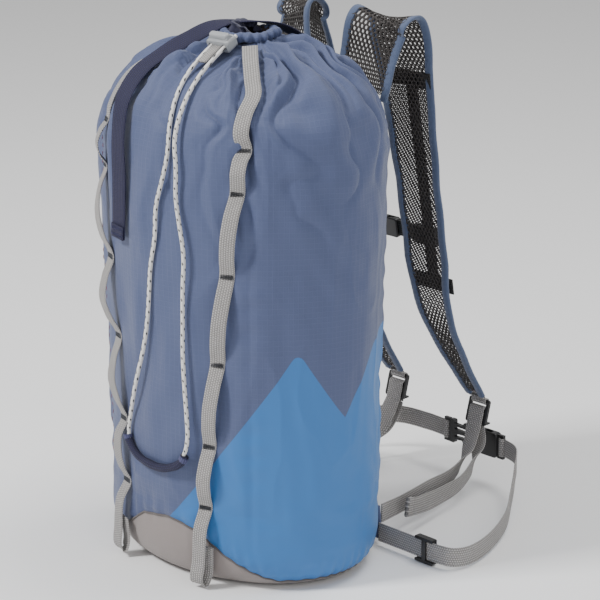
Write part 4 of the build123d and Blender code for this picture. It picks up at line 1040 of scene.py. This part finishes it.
ACROSS, UPRIGHT = [(1, 0, 0)], [(0, 0, 1)]
SIDES = (("left", -1), ("right", 1))


def shoulder_strap(side, sign):
    """Two nets between folded edges, with the black webbing down the middle and its two cross bands."""
    nets = [hex_mesh(f"strap_net_front_{side}", sign, 1.5), hex_mesh(f"strap_net_rear_{side}", sign, -1.5)]
    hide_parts(f"shoulder_mesh_{side}")
    edges = [folded_edge(f"strap_edge_{label}_{side}", sign, edge) for label, edge in EDGES]
    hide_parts(f"shoulder_binding_{side}")
    for obj in nets + edges:  # the nets and edges start at the sack and hang free past the crest; the loop only bakes their transforms into their meshes
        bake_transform(obj)
    centre = [on_strap(height, WEB_OFF + off) for height, off in
              ((CROSS_HIGH + 6, -0.6), (400, 0), (330, 0.4), (CROSS_LOW - 6, -0.6))]
    ribbon(f"strap_centre_{side}", flip(centre, sign), ACROSS, 15, 1.5, black_web, "harness", 2.0,
           node=f"centre_webbing_{side}")
    for label, height in (("high", CROSS_HIGH), ("low", CROSS_LOW)):
        mid = on_strap(height, 4.5)
        ribbon(f"cross_band_{label}_{side}", flip([mid + (x, 0, 0) for x in (-29, -10, 10, 29)], sign),
               [STRAP_DOWN], 17, 1.5, black_web, "harness", 1.5,
               node=f"cross_bands_{side}" if label == "high" else None)
        for k, x in enumerate((-25, -10, 10, 25)):
            zigzag(f"band_tack_{label}_{side}_{k}", flip(mid + STRAP_OUT * 0.9 + (x, 0, 0), sign), STRAP_DOWN,
                   (1, 0, 0), STRAP_OUT, 14, 2.4, red_thread, "harness", "black_webbing", 1.0, 0.34)


def ladder_lock_webbing(side, sign):
    """The loop that holds the ladder lock, and the adjuster webbing that turns back through it."""
    turn = [LOCK_BAR + 3.05 * (math.cos(a) * unit((0, -0.55, 0.84)) + math.sin(a) * unit((0, -0.84, -0.55)))
            for a in np.linspace(0.35, 2 * math.pi - 0.35, 14)]
    ribbon(f"lock_loop_webbing_{side}", flip([(60, 282, 106.2)] + turn + [(60, 279.5, 103.6)], sign), ACROSS,
           20, 1.3, grey_web, "harness", 0.7, node=f"lock_loop_{side}")
    zigzag(f"lock_loop_tack_{side}", flip((60, 281.8, 108.3), sign), (1, 0, 0), unit((0, 0.6, -0.8)),
           unit((0, 0.8, 0.6)), 17, 3.2, red_thread, "harness", "grey_webbing", 1.0, 0.35)
    path = [LOCK_BAR + LOCK_HEADING * a + LADDER_Z * b for a, b in
            ((29, -FOLD_OFF), (16, -FOLD_OFF), (7.5, -FOLD_OFF + 0.2), (5.9, 0), (7.5, FOLD_OFF - 0.2),
             (16, FOLD_OFF), (29, FOLD_OFF))]
    wrap = ribbon(f"adjuster_turn_{side}", flip(path, sign), ACROSS, 20, 1.3, grey_web, None, 0.8,
                  node=f"adjuster_fold_{side}")
    tuple(flip(LOCK_BAR + LOCK_HEADING * 28, sign) * MM)
    tuple(flip(LOCK_BAR + LOCK_HEADING * 8, sign) * MM)
    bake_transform(wrap)
    twist = flip(WEB_TWIST, sign)
    strand = ribbon(f"adjuster_web_{side}", flip(STRAND, sign), twist, 20, 1.4, grey_web, None, 1.6, 0.15,
                    11.0 + sign, f"adjuster_strand_{side}")
    tail = ribbon(f"adjuster_end_{side}", flip(TAIL, sign), twist, 20, 1.4, grey_web, None, 1.6, 0.2,
                  17.0 + sign, f"adjuster_tail_{side}")
    for obj in (strand, tail):
        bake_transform(obj)
    tip = np.array(TAIL[-1], float)
    heading = unit(tip - TAIL[-2])
    ribbon(f"adjuster_stop_{side}", flip([tip - heading * 9, tip - heading * 4.5, tip], sign), UPRIGHT,
           20, 4.4, grey_web, "bag", 1.0)
    ribbon(f"corner_patch_{side}", [(sign * 92, 93.4, 6), (sign * 92, 93.6, 24), (sign * 92, 92, 41)], ACROSS,
           20, 3.2, slate_cloth, "bag", 2.0, node=f"corner_tab_{side}", slot="ripstop_blue")


for side, sign in SIDES:
    shoulder_strap(side, sign)
    ladder_lock_webbing(side, sign)

# Sewn bar that the shoulder straps start from
YOKE = 439.5
ribbon("yoke_fold", [on_sack(bearing_at(x, YOKE, 1), YOKE, 3.0)[0] for x in np.linspace(-88, 88, 16)],
       UPRIGHT, 12, 4.5, binding_cloth, "bag", 2.0, node="strap_yoke", slot="ripstop_blue")

# ---- Sternum strap ----
STERNUM = 293.0
mid = on_strap(STERNUM, WEB_OFF + 0.6, -60.0)
for side, sign in SIDES:
    ribbon(f"sternum_web_{side}", [mid + (sign * 41.0, 0, 0), mid + (sign * 29, 0, 0) + STRAP_OUT * 0.4,
                                   mid + (sign * 17.05, 0, 0)], [STRAP_DOWN], 17, 1.5, olive_web,
           "sternum_strap", 1.0, node="sternum_webbing" if side == "left" else None)

# ---- Waist belt ----
BELT = 14.4
LEFT_BELT = [(-104, 93, BELT), (-121, 106, 14.8), (-132, 150, 20), (-128, 215, 31), (-106, 268, 41),
             (-70, 296, 46), (-30, 302, 46.5), (-3.05, 301, 46.5)]
RIGHT_BELT = [(103, 90.5, BELT), (145, 90.5, BELT), (182, 90.5, BELT), (199, 96, 13.8), (204, 112, 12.5),
              (198, 146, 12.2), (172, 204, 14), (144, 244, 20), (124, 272, 33), (106, 293, 44.5),
              (85.05, 299, 46.5)]
# Each half has its route, its swivel's place, which way it leaves the sack and how much it twists.
for side, route, pivot, way, sway in (("left", LEFT_BELT, (0, 301, 46.5), -1, 0.18),
                                      ("right", RIGHT_BELT, (82, 299, 46.5), 1, 0.0)):
    ribbon(f"waist_web_{side}", route, UPRIGHT, 20, 1.5, grey_web, "bag", 1.6, sway, 23.0,
           f"waist_belt_{side}")
    start = math.pi if side == "left" else 0.0
    ring = [np.array(pivot) + 3.05 * np.array([math.cos(start + a), math.sin(start + a), 0])
            for a in np.linspace(0.2, 2 * math.pi - 0.2, 16)]
    ribbon(f"waist_eye_{side}", ring, UPRIGHT, 20, 1.3, grey_web, "bag", 0.7)
    x, y, z = route[0]
    for k, off in enumerate((4, 9)):
        zigzag(f"belt_tack_{side}_{k}", (x + way * off, y - way * 0.95, z), (0, 0, 1), (1, 0, 0), (0, -1, 0),
               17, 2.4, grey_thread, "bag", "grey_webbing", 1.0, 0.3)

# ---- CAD pieces that show ----
SHOWN = {
    grey_plastic: ("cord_lock_housing", "cord_lock_plunger"),
    steel: ("cord_lock_spring",),
    black_plastic: ("ladder_lock_left", "ladder_lock_right", "sternum_slider_left", "sternum_slider_right",
                    "sternum_buckle_female", "sternum_buckle_male", "waist_buckle_male",
                    "waist_buckle_female", "tri_glide"),
}
for material, names in SHOWN.items():
    for name in names:
        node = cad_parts[name]
        node.data.materials.clear()
        node.data.materials.append(material)

# ---- Floor and light ----
pale = Nodes("pale_floor", 0.9)
pale.color((0.95, 0.95, 0.95))
floor = mesh_object("floor", [(-12, -12, 0), (12, -12, 0), (12, 12, 0), (-12, 12, 0)], [(0, 1, 2, 3)],
                    pale.mat)
world = bpy.data.worlds.new("studio")
world.use_nodes = True
world.node_tree.nodes["Background"].inputs["Color"].default_value = (1.0, 1.0, 1.0, 1)
world.node_tree.nodes["Background"].inputs["Strength"].default_value = 0.5
bpy.context.scene.world = world


def area_light(name, place, target, size, power):
    light = bpy.data.objects.new(name, bpy.data.lights.new(name, "AREA"))
    bpy.context.scene.collection.objects.link(light)
    light.location = place
    light.rotation_euler = (Vector(place) - Vector(target)).to_track_quat("Z", "Y").to_euler()
    light.data.size, light.data.energy = size, power
    return light


area_light("key", (-0.75, -1.8, 2.1), (0, 0, 0.3), 0.5, 70)
area_light("fill", (2.6, -0.6, 1.2), (0, 0.1, 0.25), 1.4, 15)
area_light("top", (0.4, 0.8, 2.6), (0, 0, 0.3), 1.2, 34)
